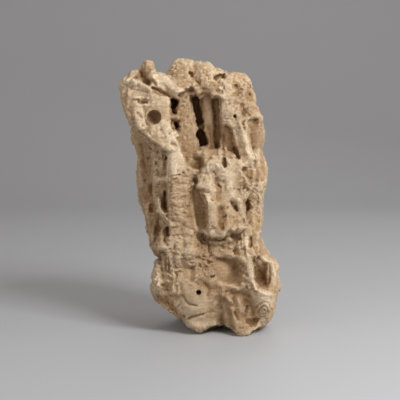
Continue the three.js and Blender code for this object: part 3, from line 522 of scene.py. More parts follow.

# Where it is paler, partly from bleaching of the stone and partly as painted light on lit crests, ridges and
# faces: name, share, reach in pixels, paths.
BLEACHES_AND_PAINTED_LIGHT = [
    ("finger and right boss", 1.0, 9, [(156, 77), (164, 80), (172, 86), (178, 92)],
     [(257, 294), (262, 296), (268, 300)]),
    ("knobs of the plate", 0.9, 11, [(162, 127), (168, 134), (173, 142)]),
    ("plate rim", 0.9, 8, [(131, 82), (140, 86)]),
    ("column shoulder", 1.0, 12, [(174, 148), (175, 168)]),
    ("pale ridge", 1.0, 9.5, [(245, 138), (250, 150), (251, 166)]),
    ("slab band", 0.9, 10, [(220, 166), (227, 178), (231, 194)]),
    ("slab rim", 0.7, 7, [(204, 172), (202, 187), (208, 202)]),
    ("slab corner", 0.8, 5, [(238, 200), (242, 212), (245, 222), (238, 228)]),
    ("slab's foot and strands, and right edge of the plate", 0.7, 5, [(203, 231), (213, 234), (224, 234)],
     [(173, 124), (178, 134), (179, 142)], [(207, 166), (211, 178), (209, 192)]),
    ("shoulder and column foot", 0.4, 9, [(224, 86), (226, 98)], [(176, 240), (184, 246)]),
    ("right rim", 1.0, 4, [(246, 240), (248, 258), (252, 279), (257, 289), (268, 294)]),
    ("outer wall", 0.9, 6, [(266, 260), (275, 263), (274, 276)]),
    ("bright patch", 0.7, 7, [(188, 250)]),
    ("foot and top of the slab", 0.5, 8, [(190, 325), (200, 327)], [(210, 166), (220, 160), (234, 164)]),
    ("little pillar and edges on the right", 0.6, 4, [(158, 200), (159, 210)],
     [(247, 77), (254, 85), (256, 95)], [(254, 158), (254, 168)], [(238, 246), (240, 250)]),
    ("waist, flank slot, right side, first crest and round boring", 0.6, 5, [(158, 243), (163, 246)],
     [(161, 210), (168, 217)], [(254, 186), (256, 196), (257, 210)],
     [(170, 71), (176, 63), (184, 60), (190, 65)], [(145, 127), (150, 132)]),
    ("plate", 0.8, 9, [(134, 94), (146, 97), (144, 108), (140, 118)]),
    ("top left", 1.0, 10, [(120, 85), (130, 84), (138, 86)]),
    ("left boss", 0.6, 8, [(156, 264), (156, 280)]),
    ("jamb ridge", 1.0, 6, [(236, 128), (239, 138), (242, 150)]),
    ("flank knobs", 0.6, 7, [(156, 164), (157, 182)]),
    ("outer flank", 0.5, 4, [(140, 164), (141, 186)]),
    ("left of the cheek", 0.5, 9, [(182, 306), (188, 311)]),
    ("column's foot at the left", 0.5, 7, [(172, 257), (172, 272)]),
    ("bottom of the column", 0.5, 6, [(184, 255)]),
    ("shoulder's knob", 0.8, 4, [(219, 89)]),
    ("crest of the second dome", 0.7, 5, [(194, 62), (203, 62), (211, 67), (218, 72)]),
    ("flank knob", 0.6, 4.5, [(161, 178), (166, 177)]),
]

# Where it is darker brown, partly from stains and partly as painted shade in hollows, slots, undersides and
# under overhangs: name, share, reach in pixels, paths.
STAINS_AND_PAINTED_SHADE = [
    ("flank and foot of the thin pillar", 0.8, 7, [(146, 145), (148, 165), (149, 200), (154, 216)],
     [(209, 130), (212, 146)]),
    ("strip of the flank and second slot", 0.5, 6, [(164, 152), (163, 172)], [(217, 100), (217, 146)]),
    ("trough", 0.45, 9, [(198, 192), (200, 226)]),
    ("crack of the hump", 1.0, 3, [(223, 153), (224.5, 165)]),
    ("slots of the window", 1.0, 6.5, [(194, 99), (196, 110), (199, 122)], [(200, 132), (202, 144)]),
    ("notches, pinhole and inner side of the rim", 1.0, 4, [(173.5, 100), (174.5, 112), (176, 128)],
     [(200.5, 289), (199.5, 296)], [(252.5, 257), (254.4, 266), (255.6, 274)]),
    ("under the slab", 0.45, 7, [(206, 240), (218, 241)]),
    ("side of the scoop and under the ledge", 0.6, 7, [(236, 262), (238, 272)],
     [(214, 292), (230, 294), (248, 300)]),
    ("roof of the scoop", 0.55, 7, [(218, 261), (226, 264), (232, 262)]),
    ("valley and low shoulder", 0.6, 8, [(221, 300), (224, 320)], [(241, 98), (244, 110)]),
    ("low scoop", 0.75, 9, [(245, 300), (249, 316)]),
    ("right pocket", 0.9, 8, [(260, 272), (262, 279)]),
    ("left underside", 0.9, 9, [(157, 299), (165, 307), (173, 313), (178, 320)]),
    ("boss groove", 0.2, 5, [(163, 256), (166, 276)]),
    ("upper right pocket", 0.8, 5, [(247, 203), (246.5, 212), (247.5, 221)]),
    ("slab bowl", 0.6, 6, [(221, 210), (221, 228)]),
    ("jamb recess", 0.75, 8, [(227, 130), (230, 142), (232, 152)]),
    ("right trough, waist and heel", 1.0, 8, [(256, 123), (256.5, 144)],
     [(149, 245), (153, 252), (159, 257)], [(247, 321), (252, 323)]),
    ("thin pillar", 1.0, 10, [(208, 104), (212, 144)]),
    ("broad pillar", 0.5, 10, [(184, 104), (188, 140), (192, 160)]),
    ("notch, jamb, slab's corner and shoulder", 0.4, 4, [(216, 77), (221, 77)], [(229, 96), (234, 99)],
     [(235, 225)], [(240, 119), (241, 123)]),
    ("hollow over the trough", 0.7, 7, [(192, 162), (200, 166)]),
    ("crumbled patch", 0.7, 13, [(203, 246), (207, 258), (212, 270)]),
    ("shoulder", 0.5, 7, [(236, 87), (237, 94), (244, 87)], [(249, 87), (251, 97)]),
    ("outer flank", 0.75, 12, [(140, 150), (143, 200), (150, 230)]),
    ("second dome", 0.55, 9, [(201, 76), (204, 88)]),
    ("first dome and left of the pinhole", 0.5, 8, [(178, 74), (179, 83)],
     [(192, 282), (195, 290), (197, 300)]),
    ("by the pinhole", 0.9, 11, [(204, 286), (212, 291), (222, 298)]),
    ("keel", 0.85, 11, [(232, 308), (239, 316), (239, 328)]),
    ("edges of the plate, pillar and left foot", 0.8, 4, [(139, 132), (147, 138.5), (156, 146)],
     [(139, 77), (142, 74), (149, 81), (155, 83)], [(180, 97), (181, 106)],
     [(190, 130), (193, 144), (194, 152)], [(204, 331), (208, 328)]),
    ("outer flank pits", 1.0, 6, [(146, 198), (149, 210)]),
    ("edge of the column", 0.7, 8, [(187, 194), (190, 222)]),
    ("low middle", 0.4, 6, [(241, 306)]),
    ("lower flank", 0.6, 9, [(158, 222), (160, 238), (157, 250)]),
    ("outline over the boss", 0.7, 4, [(261, 168), (262, 178)]),
    ("band over the cheek", 1.0, 5, [(216, 286), (222, 291)]),
    ("under the keel", 0.9, 5, [(227, 326), (234, 331), (247, 327)]),
    ("crescent under the knob", 0.6, 3.4, [(171.5, 143.5), (177, 146)]),
    ("slab's right, column's foot and top of the flank", 0.5, 5, [(234, 190), (241, 187)],
     [(189, 234), (190, 245)], [(137, 137), (139, 146)]),
    ("bank of the scoop, hump and bands", 0.5, 4, [(244, 262), (246, 272), (250, 284)],
     [(217, 156), (222, 147)], [(186, 174), (190, 178)]),
    ("under the finger", 0.8, 3, [(152.5, 92.5), (158, 94)]),
    ("edge of the plate", 0.6, 4, [(133, 121), (138, 130)]),
    ("end of the low crack", 0.8, 2.6, [(205, 314.5), (213, 311.5)]),
    ("beside the knob", 0.6, 3, [(200, 174), (200.5, 180)]),
    ("foot of the pocket", 0.7, 5, [(264, 284), (270, 286)]),
    ("right of the hump", 0.5, 3.4, [(233, 157), (235, 160)]),
    ("left of the right rim", 0.5, 3.6, [(241, 252), (242.5, 260), (250, 247)]),
]


class RockSizes(bpy.types.PropertyGroup):
    """Sizes of the rock's relief and mesh."""

    coarse_cell: bpy.props.FloatProperty(
        name="Coarse Cell", description="Cell that the plain solid is rebuilt in", default=1.7 * MM,
        min=0.5 * MM, unit="LENGTH", precision=4)
    fine_cell: bpy.props.FloatProperty(
        name="Fine Cell", description="Cell that the carved rock is rebuilt in", default=1.05 * MM,
        min=0.5 * MM, unit="LENGTH", precision=4)
    most_faces: bpy.props.IntProperty(
        name="Most Faces", description="Triangles that the finished rock may have", default=196000, min=1000)
    knob_height: bpy.props.FloatProperty(
        name="Knob Height", description="How far the weathered knobs stand out", default=1.45 * MM,
        unit="LENGTH", precision=4)
    crumb_height: bpy.props.FloatProperty(
        name="Crumb Height", description="Height of the crumbs where the skin is crumbled", default=1.35 * MM,
        unit="LENGTH", precision=4)
    grain_height: bpy.props.FloatProperty(
        name="Grain Height", description="Height of the coarsest sand grains", default=0.35 * MM,
        unit="LENGTH", precision=4)
    bed_height: bpy.props.FloatProperty(
        name="Bed Height", description="How far the thin beds stand out", default=0.8 * MM,
        unit="LENGTH", precision=4)
    seed: bpy.props.IntProperty(name="Seed", description="Seed of the weathering", default=11)


class RockColours(bpy.types.PropertyGroup):
    """Colours of the sandstone and the stage."""

    body: bpy.props.FloatVectorProperty(
        name="Body", description="Colour of the sandstone", default=(0.44, 0.305, 0.18), subtype="COLOR",
        size=3)
    # The crest colour is also painted light on lit crests, ridges and faces.
    crest: bpy.props.FloatVectorProperty(
        name="Crest", description="Bleached crests and knobs", default=(0.72, 0.58, 0.42), subtype="COLOR",
        size=3)
    # The hollow colour is also painted shade in hollows, slots and undersides.
    hollow: bpy.props.FloatVectorProperty(
        name="Hollow", description="Stained hollows", default=(0.215, 0.12, 0.055), subtype="COLOR", size=3)
    rust: bpy.props.FloatVectorProperty(
        name="Rust", description="Iron-stained patches", default=(0.38, 0.22, 0.11), subtype="COLOR", size=3)
    floor: bpy.props.FloatVectorProperty(
        name="Floor", description="Pale studio floor", default=(0.48, 0.505, 0.55), subtype="COLOR", size=3)


# Noise over points in metres, all seeded.

def eased(share):
    return share * share * (3 - 2 * share)


def fade(value, low, high):
    """0 at the low value, 1 at the high one, and eased between."""
    return eased(np.clip((value - low) / (high - low), 0, 1))


def noise_rows(cell):
    """Rows of a noise table, scattered over the cells of space."""
    return (cell[:, 0] * 73856093 ^ cell[:, 1] * 19349663 ^ cell[:, 2] * 83492791) & (NOISE_ROWS - 1)


def lattice_noise(points, size, seed):
    """Smooth noise from -1 to 1 with cells of the given size."""
    table = np.random.default_rng(seed).uniform(-1, 1, NOISE_ROWS)
    place = points / size + NOISE_ORIGIN
    cell = np.floor(place).astype(np.int64)
    share = eased(place - cell)
    total = np.zeros(len(points))
    for z, y, x in product((0, 1), repeat=3):
        step = np.array((x, y, z))
        weight = np.prod(np.where(step == 1, share, 1 - share), axis=1)
        total += weight * table[noise_rows(cell + step)]
    return total


def layered_noise(points, size, seed, layers=3):
    total = np.zeros(len(points))
    for i in range(layers):
        total += lattice_noise(points, size / 2**i, seed + i) / 2**i
    return total / LAYERS_SUM


def cell_noise(points, size, seed):
    """Distances to the nearest of scattered points, in cells."""
    offsets = np.random.default_rng(seed).uniform(0, 1, (NOISE_ROWS, 3))
    place = points / size + NOISE_ORIGIN
    cell = np.floor(place).astype(np.int64)
    nearest = np.full(len(points), np.inf)
    for step in product((-1, 0, 1), repeat=3):
        at = cell + step
        nearest = np.minimum(nearest, np.linalg.norm(at + offsets[noise_rows(at)] - place, axis=1))
    return nearest


def wander(points):
    """Small seeded shifts, two for each point, that make edges waver."""
    return np.stack([layered_noise(points, 7 * MM, seed, 2) for seed in WAVER_SEEDS], 1)


# Meshes as arrays of points.

def stored(items, name, width=3, kind=np.float32):
    """A value that each item of a mesh holds, as the rows of an array."""
    flat = np.empty(len(items) * width, kind)
    items.foreach_get(name, flat)
    return flat.reshape(-1, width)


def skin_of(rock):
    """Points of the rock in metres, and its normals there."""
    points = stored(rock.data.vertices, "co").astype(float)
    return points, stored(rock.data.vertex_normals, "vector").astype(float)


def put_points(rock, points):
    rock.data.vertices.foreach_set("co", points.astype(np.float32).ravel())
    rock.data.update()


def push(rock, points, ways, lift):
    """Moves each point of the rock along its way by its lift."""
    put_points(rock, points + ways * lift[:, None])


def keep_in_box(rock):
    points = skin_of(rock)[0]
    put_points(rock, np.clip(points, np.array(CAD_BOX[0]), np.array(CAD_BOX[1])))


def evened(rock, values, times):
    """Values at the points, averaged with their neighbours the given number of times."""
    a, b = stored(rock.data.edges, "vertices", 2, np.int32).T
    count = len(values)
    degree = np.maximum(np.bincount(a, minlength=count) + np.bincount(b, minlength=count), 1)
    values = values.copy()
    for _ in range(times):
        for column in values.T:
            beside = np.bincount(a, column[b], count) + np.bincount(b, column[a], count)
            column[:] = 0.5 * column + 0.5 * beside / degree
    return values


# The photographed view.

def seen_at(points):
    """Pixels that points in metres are seen at in the photographed view."""
    away = points - np.array(VIEW_TARGET)
    depth = VIEW_DISTANCE - away @ np.array(VIEW_BACK)
    across = VIEW_PIXELS / 2 + VIEW_FOCAL * away[:, 0] / depth
    down = VIEW_PIXELS / 2 - VIEW_FOCAL * (away @ np.array(VIEW_UP)) / depth
    return np.stack([across, down], 1)


def seen_point(rock, across, down):
    """The point of the rock that is seen at a pixel."""
    ray = (Vector(((across - VIEW_PIXELS / 2) / VIEW_FOCAL, 0, 0))
           + Vector(VIEW_UP) * ((VIEW_PIXELS / 2 - down) / VIEW_FOCAL) - VIEW_BACK)
    found, place, *_ = rock.ray_cast(CAMERA_PLACE, ray.normalized())
    if not found:
        raise RuntimeError(f"the rock isn't seen at pixel {across}, {down}")
    return place


def facing_view(normals):
    return fade(normals @ np.array(VIEW_BACK), 0.02, 0.4)


def on_front(points, normals):
    """1 on the front that the photographed view shows, 0 on the rest."""
    return facing_view(normals) * fade(-points[:, 1], -10 * MM, 20 * MM)


def hidden(points, normals):
    """1 on the sides and back that the photographed view doesn't show, 0 on its front and outline."""
    return (1 - facing_view(normals)) * fade(points[:, 1], -15 * MM, 15 * MM)


# Marks on the view.

def away_from(pixels, path):
    """Distance of pixels from a path, their side of it, above 0 on its right, and how far along it."""
    nearest = np.full(len(pixels), np.inf)
    side = np.zeros(len(pixels))
    reached = np.zeros(len(pixels))
    for i, (start, end) in enumerate(zip(path, path[1:] or path)):
        start, end = np.array(start[:2], float), np.array(end[:2], float)
        along = end - start
        share = np.clip((pixels - start) @ along / max(along @ along, 1e-9), 0, 1)
        off = pixels - start - share[:, None] * along
        distance = np.linalg.norm(off, axis=1)
        cross = along[0] * off[:, 1] - along[1] * off[:, 0]
        closer = distance < nearest
        nearest[closer] = distance[closer]
        side[closer] = np.sign(cross[closer])
        reached[closer] = i + share[closer]
    return nearest, side, reached


def marks_lift(pixels, marks):
    lift = np.zeros(len(pixels))
    for _, height, width, edge, *paths in marks:
        for path in paths:
            distance = away_from(pixels, path)[0]
            lift += height * MM * (1 - fade(distance / width, 1 - edge, 1))
    return lift


def ledges_lift(pixels, ledges):
    lift = np.zeros(len(pixels))
    for _, height, reach, path in ledges:
        distance, side, _ = away_from(pixels, path)
        inner = np.where(side >= 0, 1.0, fade(-distance, -1.6, 0))
        lift += height * MM * inner * (1 - fade(distance / reach, 0.1, 1))
    return lift


def levelled(pixels, depths, levels):
    """Depths in metres, with those near each level's path brought to the path's own."""
    for _, kind, width, edge, path in levels:
        distance, _, reached = away_from(pixels, path)
        change = np.interp(reached, range(len(path)), [point[2] * MM for point in path]) - depths
        if kind == "fill":
            change = np.maximum(change, 0)
        elif kind == "cut":
            change = np.minimum(change, 0)
        depths = depths + change * (1 - fade(distance / width, 1 - edge, 1))
    return depths


def roughness_at(pixels, front):
    """Share of the full roughness that the skin keeps, less where it is calm."""
    share = np.ones(len(pixels))
    for _, least, reach, *paths in CALM:
        for path in paths:
            distance = away_from(pixels, path)[0]
            share = np.minimum(share, least + (1 - least) * fade(distance / reach, 0.6, 1.1))
    return 1 - front * (1 - share)


def coverage(pixels, front, areas):
    """Share that the named areas cover, from 0 to 1."""
    share = np.zeros(len(pixels))
    for _, most, reach, *paths in areas:
        for path in paths:
            distance = away_from(pixels, path)[0]
            share = np.maximum(share, most * (1 - fade(distance / reach, 0.3, 1.2)))
    return front * share


# Steps of the making.

def rock_object():
    return bpy.data.objects["rock"]


def only(thing):
    bpy.ops.object.select_all(action="DESELECT")
    thing.select_set(True)
    bpy.context.view_layer.objects.active = thing


def apply_modifier(thing, kind, **values):
    only(thing)
    modifier = thing.modifiers.new(kind.title(), kind)
    for key, value in values.items():
        setattr(modifier, key, value)
    bpy.ops.object.modifier_apply(modifier=modifier.name)


def rebuild(rock, cell, smoothing=2):
    """Rebuilds the rock in even cells and smooths away their steps."""
    only(rock)
    rock.data.remesh_voxel_size = cell
    rock.data.remesh_voxel_adaptivity = 0
    bpy.ops.object.voxel_remesh()
    apply_modifier(rock, "SMOOTH", factor=0.5, iterations=smoothing)


def worn_ball(middle, radii, roughness):
    """A ball to cut with: its radii and roughness in mm, turned to the view, and worn out of round."""
    bpy.ops.object.select_all(action="DESELECT")
    bpy.ops.mesh.primitive_uv_sphere_add(segments=64, ring_count=40, radius=1.0, location=(0, 0, 0))
    ball = bpy.context.object
    only(ball)
    bpy.ops.object.mode_set(mode="EDIT")
    bpy.ops.mesh.select_all(action="SELECT")
    bpy.ops.transform.resize(value=[radius * MM for radius in radii])
    bpy.ops.transform.rotate(value=VIEW_ELEVATION, orient_axis="X", center_override=(0, 0, 0))
    bpy.ops.transform.translate(value=middle)
    bpy.ops.object.mode_set(mode="OBJECT")
    points, normals = skin_of(ball)
    put_points(ball, points + normals * layered_noise(points, 6 * MM, BORING_SEED)[:, None] * roughness * MM)
    return ball


def cut_away(rock, cutter):
    apply_modifier(rock, "BOOLEAN", operation="DIFFERENCE", object=cutter, solver="MANIFOLD")
    bpy.data.objects.remove(cutter)
    while rock.data.uv_layers:
        rock.data.uv_layers.remove(rock.data.uv_layers[0])


class ROCK_OT_block(bpy.types.Operator):
    """Copies the plain solid and rebuilds it in small even cells"""

    bl_idname = "rock.block"
    bl_label = "Rough Block"

    def execute(self, context):
        rock = frame["nodes"]["sandstone_rock"].copy()
        rock.data = rock.data.copy()
        rock.name = "rock"
        rock.data.name = "rock"
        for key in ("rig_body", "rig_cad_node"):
            rock.pop(key, None)
        rock.parent = None
        rock.data.materials.clear()
        context.scene.collection.objects.link(rock)
        only(rock)
        bpy.ops.mesh.customdata_custom_splitnormals_clear()
        bpy.ops.object.mode_set(mode="EDIT")
        bpy.ops.mesh.select_all(action="SELECT")
        bpy.ops.mesh.remove_doubles(threshold=0.01 * MM)
        bpy.ops.object.mode_set(mode="OBJECT")
        rebuild(rock, context.scene.rock_sizes.coarse_cell)
        apply_modifier(rock, "SMOOTH", factor=0.5, iterations=6)
        return {"FINISHED"}


class ROCK_OT_carve(bpy.types.Operator):
    """Carves the front's ledges, ribs, troughs and pockets, the bumps of the outline, and the hidden sides"""

    bl_idname = "rock.carve"
    bl_label = "Carve"

    def execute(self, context):
        cell = context.scene.rock_sizes.fine_cell
        rock = rock_object()
        self.shape_outline(rock)
        self.carve_front(rock, BROAD_MARKS, LEDGES, BROAD_WAVER)
        rebuild(rock, cell)
        self.level_front(rock)
        rebuild(rock, cell)
        self.carve_front(rock, FINE_MARKS, [], FINE_WAVER)
        self.carve_round(rock)
        rebuild(rock, cell, 1)
        return {"FINISHED"}

    @staticmethod
    def unit(ways):
        """Ways of length 1, and shorter where they are almost nothing."""
        return ways / np.maximum(np.linalg.norm(ways, axis=1), 0.3)[:, None]

    def shape_outline(self, rock):
        """Lifts the skin across the view, where it turns away from it."""
        points, normals = skin_of(rock)
        back = np.array(VIEW_BACK)
        facing = normals @ back
        lift = marks_lift(seen_at(points), OUTLINE) * (1 - fade(np.abs(facing), 0.3, 0.8))
        push(rock, points, self.unit(normals - facing[:, None] * back), lift)

    def carve_front(self, rock, marks, ledges, waver):
        """Lifts the skin half outwards and half towards the camera."""
        points, normals = skin_of(rock)
        pixels = seen_at(points) + waver * wander(points)
        lift = (marks_lift(pixels, marks) + ledges_lift(pixels, ledges)) * facing_view(normals)
        push(rock, points, self.unit(normals + np.array(VIEW_BACK)), lift)

    @staticmethod
    def level_front(rock):
        """Brings the front to its levels, each point along its own line of sight."""
        points, normals = skin_of(rock)
        back = np.array(VIEW_BACK)
        depths = (points - np.array(VIEW_TARGET)) @ back
        pixels = seen_at(points) + LEVEL_WAVER * wander(points)
        moved = levelled(pixels, depths, LEVELS) - depths
        moved *= ((normals @ back > -0.3) | (moved < 0)) & (points[:, 1] < 10 * MM)
        ways = np.array(CAMERA_PLACE) - points
        push(rock, points, ways / (ways @ back)[:, None], moved)

    @staticmethod
    def carve_round(rock):
        """Goes on with ribs, flutes and pockets over the sides and the back, down to just above the floor."""
        points, normals = skin_of(rock)
        swing = layered_noise(points * (1, 1, 0.3), 26 * MM, RIBS_SEED)
        bent = points + 4 * MM * layered_noise(points, 9 * MM, POCKET_BENDS_SEED)[:, None]
        near = cell_noise(bent * (1, 1, 0.6), 26 * MM, POCKETS_SEED)
        ribs = 2.5 * fade(swing, 0.3, 0.8)
        flutes = 4 * fade(0.2 - np.abs(swing), 0, 0.2)
        pockets = 6 * fade(0.42 - near, 0, 0.16)
        share = hidden(points, normals) * fade(points[:, 2], 3 * MM, 12 * MM)
        push(rock, points, normals, (ribs - flutes - pockets) * MM * share)


class ROCK_OT_weather(bpy.types.Operator):
    """Weathers the whole skin into knobs, pits and grains, and keeps it inside its box"""

    bl_idname = "rock.weather"
    bl_label = "Weather"

    def execute(self, context):
        sizes = context.scene.rock_sizes
        rock = rock_object()
        points, normals = skin_of(rock)
        pixels = seen_at(points)
        front = on_front(points, normals)
        rough = roughness_at(pixels, front)

        def formed(noise, name, at=points, **more):
            """Noise with the cell and the seed of a form of the weathering."""
            cell, step = FORMS[name]
            return noise(at, cell * MM, sizes.seed + step, **more)

        bends = [formed(lattice_noise, name) for name in ("bends across", "bends inwards", "bends upwards")]
        bent = points + 2.5 * MM * np.stack(bends, 1)
        patchy = fade(formed(layered_noise, "patches"), -0.5, 0.4)
        pitted = fade(formed(lattice_noise, "pitted areas"), -0.25, 0.3)
        pits = fade(0.42 - formed(cell_noise, "pits", bent), 0.0, 0.3) * (0.25 + 0.75 * pitted)
        fine_pits = fade(0.4 - formed(cell_noise, "fine pits", bent), 0.0, 0.3)
        knobs = 1 - 2 * np.abs(formed(layered_noise, "knobs", bent))
        crumbs = 2 * np.abs(formed(layered_noise, "crumbs", bent, layers=2)) - 0.5
        loose_crumbs = 2 * np.abs(formed(layered_noise, "loose crumbs", bent, layers=2)) - 0.6
        swell = formed(layered_noise, "swell")
        beds = formed(layered_noise, "beds", points * (0.16, 0.16, 1.0), layers=2)
        grains = formed(layered_noise, "grains", layers=2)

        height = rough * sizes.knob_height
        lift = height * (0.55 + 0.45 * patchy) * (0.6 * knobs + 0.9 * crumbs + 0.6 * swell)
        lift -= height * (1.1 * pits + 0.3 * fine_pits)
        crumbled = np.maximum(coverage(pixels, front, CRUMBLED), 0.7 * patchy * hidden(points, normals))
        lift += crumbled * sizes.crumb_height * loose_crumbs
        lift += sizes.bed_height * (0.4 * patchy + coverage(pixels, front, BANDED)) * beds
        lift += (0.35 + 0.65 * rough) * sizes.grain_height * grains
        push(rock, points, normals, lift * fade(points[:, 2], 0.5 * MM, 5 * MM))
        keep_in_box(rock)
        return {"FINISHED"}


class ROCK_OT_drill(bpy.types.Operator):
    """Drills the borings, wears away the arch between the feet and thins the mesh"""

    bl_idname = "rock.drill"
    bl_label = "Drill"

    def execute(self, context):
        rock = rock_object()
        middles = [self.mouth(rock, *pixel, radius) for _, pixel, radius, _ in BORINGS]
        for middle, (_, _, radius, depth) in zip(middles, BORINGS):
            cut_away(rock, worn_ball(middle, (radius, depth, radius), 0.04 * radius))
        for _, middle, radii in UNDERCUTS:
            cut_away(rock, worn_ball([value * MM for value in middle], radii, 2.0))
        self.thin(rock, context.scene.rock_sizes.most_faces)
        return {"FINISHED"}

    @staticmethod
    def mouth(rock, across, down, radius):
        """Middle of a boring's mouth, level with the skin around it."""
        reach = 1.3 * radius
        turns = [quarter * math.pi / 2 for quarter in range(4)]
        rim = [seen_point(rock, across + reach * math.cos(turn), down + reach * math.sin(turn))
               for turn in turns]
        centre = seen_point(rock, across, down)
        way = CAMERA_PLACE - centre
        return centre + way * (sum(point.y for point in rim) / len(rim) - centre.y) / way.y

    @staticmethod
    def thin(rock, most):
        """Takes triangles away where the skin is flattest, and keeps the rest inside the box."""
        apply_modifier(rock, "TRIANGULATE")
        apply_modifier(rock, "DECIMATE", ratio=min(most / len(rock.data.polygons), 1.0))
        keep_in_box(rock)
        bpy.ops.object.shade_smooth()


# Materials.

def feed(tree, socket, value):
    """Links a socket to another node's output, or sets its plain value."""
    if isinstance(value, bpy.types.NodeSocket):
        tree.links.new(value, socket)
    else:
        socket.default_value = value


def node(tree, kind, **inputs):
    """A new node in the next place of a grid, with its inputs fed."""
    made = tree.nodes.new(kind)
    row, column = divmod(len(tree.nodes) - 1, NODES_IN_A_ROW)
    made.location = (NODE_GAP[0] * column, NODE_GAP[1] * row)
    for key, value in inputs.items():
        feed(tree, made.inputs[key.replace("_", " ")], value)
    return made


def mixed(tree, factor, first, second, blend="MIX"):
    made = node(tree, "ShaderNodeMix")
    made.data_type = "RGBA"
    made.blend_type = blend
    for index, value in ((MIX_FACTOR, factor), (MIX_FIRST, first), (MIX_SECOND, second)):
        feed(tree, made.inputs[index], value)
    return made.outputs[MIX_RESULT]


def ranged(tree, value, low, high, to_low=0.0, to_high=1.0):
    made = node(tree, "ShaderNodeMapRange", Value=value, From_Min=low, From_Max=high, To_Min=to_low,
                To_Max=to_high)
    made.interpolation_type = "SMOOTHSTEP"
    return made.outputs["Result"]


def worked(tree, operation, first, second=0.0, clamp=False):
    made = node(tree, "ShaderNodeMath")
    made.operation = operation
    made.use_clamp = clamp
    for socket, value in zip(made.inputs, (first, second)):
        feed(tree, socket, value)
    return made.outputs[0]


def noise_of(tree, vector, scale, detail=4.0, roughness=0.55):
    made = node(tree, "ShaderNodeTexNoise", Vector=vector, Scale=scale, Detail=detail, Roughness=roughness)
    return made.outputs["Fac"]


def channels(tree, name):
    """Red, green and blue of a colour that the skin holds."""
    held = node(tree, "ShaderNodeAttribute")
    held.attribute_name = name
    return node(tree, "ShaderNodeSeparateColor", Color=held.outputs["Color"]).outputs


def new_group(name, outputs, **inputs):
    """A group that takes a vector and the given values, and its input node's outputs."""
    group = bpy.data.node_groups.new(name, "ShaderNodeTree")
    group.interface.new_socket("Vector", in_out="INPUT", socket_type="NodeSocketVector")
    for socket, value in inputs.items():
        made = group.interface.new_socket(socket, in_out="INPUT", socket_type="NodeSocketFloat")
        made.default_value = value
    for socket in outputs:
        group.interface.new_socket(socket, in_out="OUTPUT", socket_type="NodeSocketFloat")
    return group, node(group, "NodeGroupInput").outputs


def grouped(tree, group, **inputs):
    """A group placed in a material, with its own values."""
    made = node(tree, "ShaderNodeGroup")
    made.node_tree = group
    for key, value in inputs.items():
        feed(tree, made.inputs[key], value)
    return made.outputs


def sand_group():
    """Sand grains: a speckle of light and dark grains, and their height."""
    group, given = new_group("Sand grains", ("Speckle", "Height"), Scale=900.0)
    vector = given["Vector"]
    grains = node(group, "ShaderNodeTexVoronoi", Vector=vector, Scale=given["Scale"])
    noise = noise_of(group, vector, 420.0, 6.0, 0.65)
    shade = node(group, "ShaderNodeSeparateColor", Color=grains.outputs["Color"]).outputs[0]
    speckle = worked(group, "MULTIPLY", worked(group, "ADD", shade, noise), 0.5)
    domes = ranged(group, grains.outputs["Distance"], 0.0, 0.7, 1.0, 0.0)
    height = worked(group, "ADD", worked(group, "MULTIPLY", noise, 1.6), domes)
    node(group, "NodeGroupOutput", Speckle=speckle, Height=worked(group, "MULTIPLY", height, 0.4))
    return group


def bedding_group():
    """Thin sandy beds that lie almost level and waver, a pitch in mm apart."""
    group, given = new_group("Bedding", ("Bands",), Pitch=3.6)
    warp = noise_of(group, given["Vector"], 45.0, 3.0, 0.5)
    rise = node(group, "ShaderNodeSeparateXYZ", Vector=given["Vector"]).outputs["Z"]
    level = worked(group, "ADD", rise, worked(group, "MULTIPLY", warp, 6 * MM))
    turns = worked(group, "DIVIDE", 2 * math.pi / MM, given["Pitch"])
    wave = worked(group, "SINE", worked(group, "MULTIPLY", level, turns))
    node(group, "NodeGroupOutput", Bands=ranged(group, wave, -1.0, 1.0))
    return group


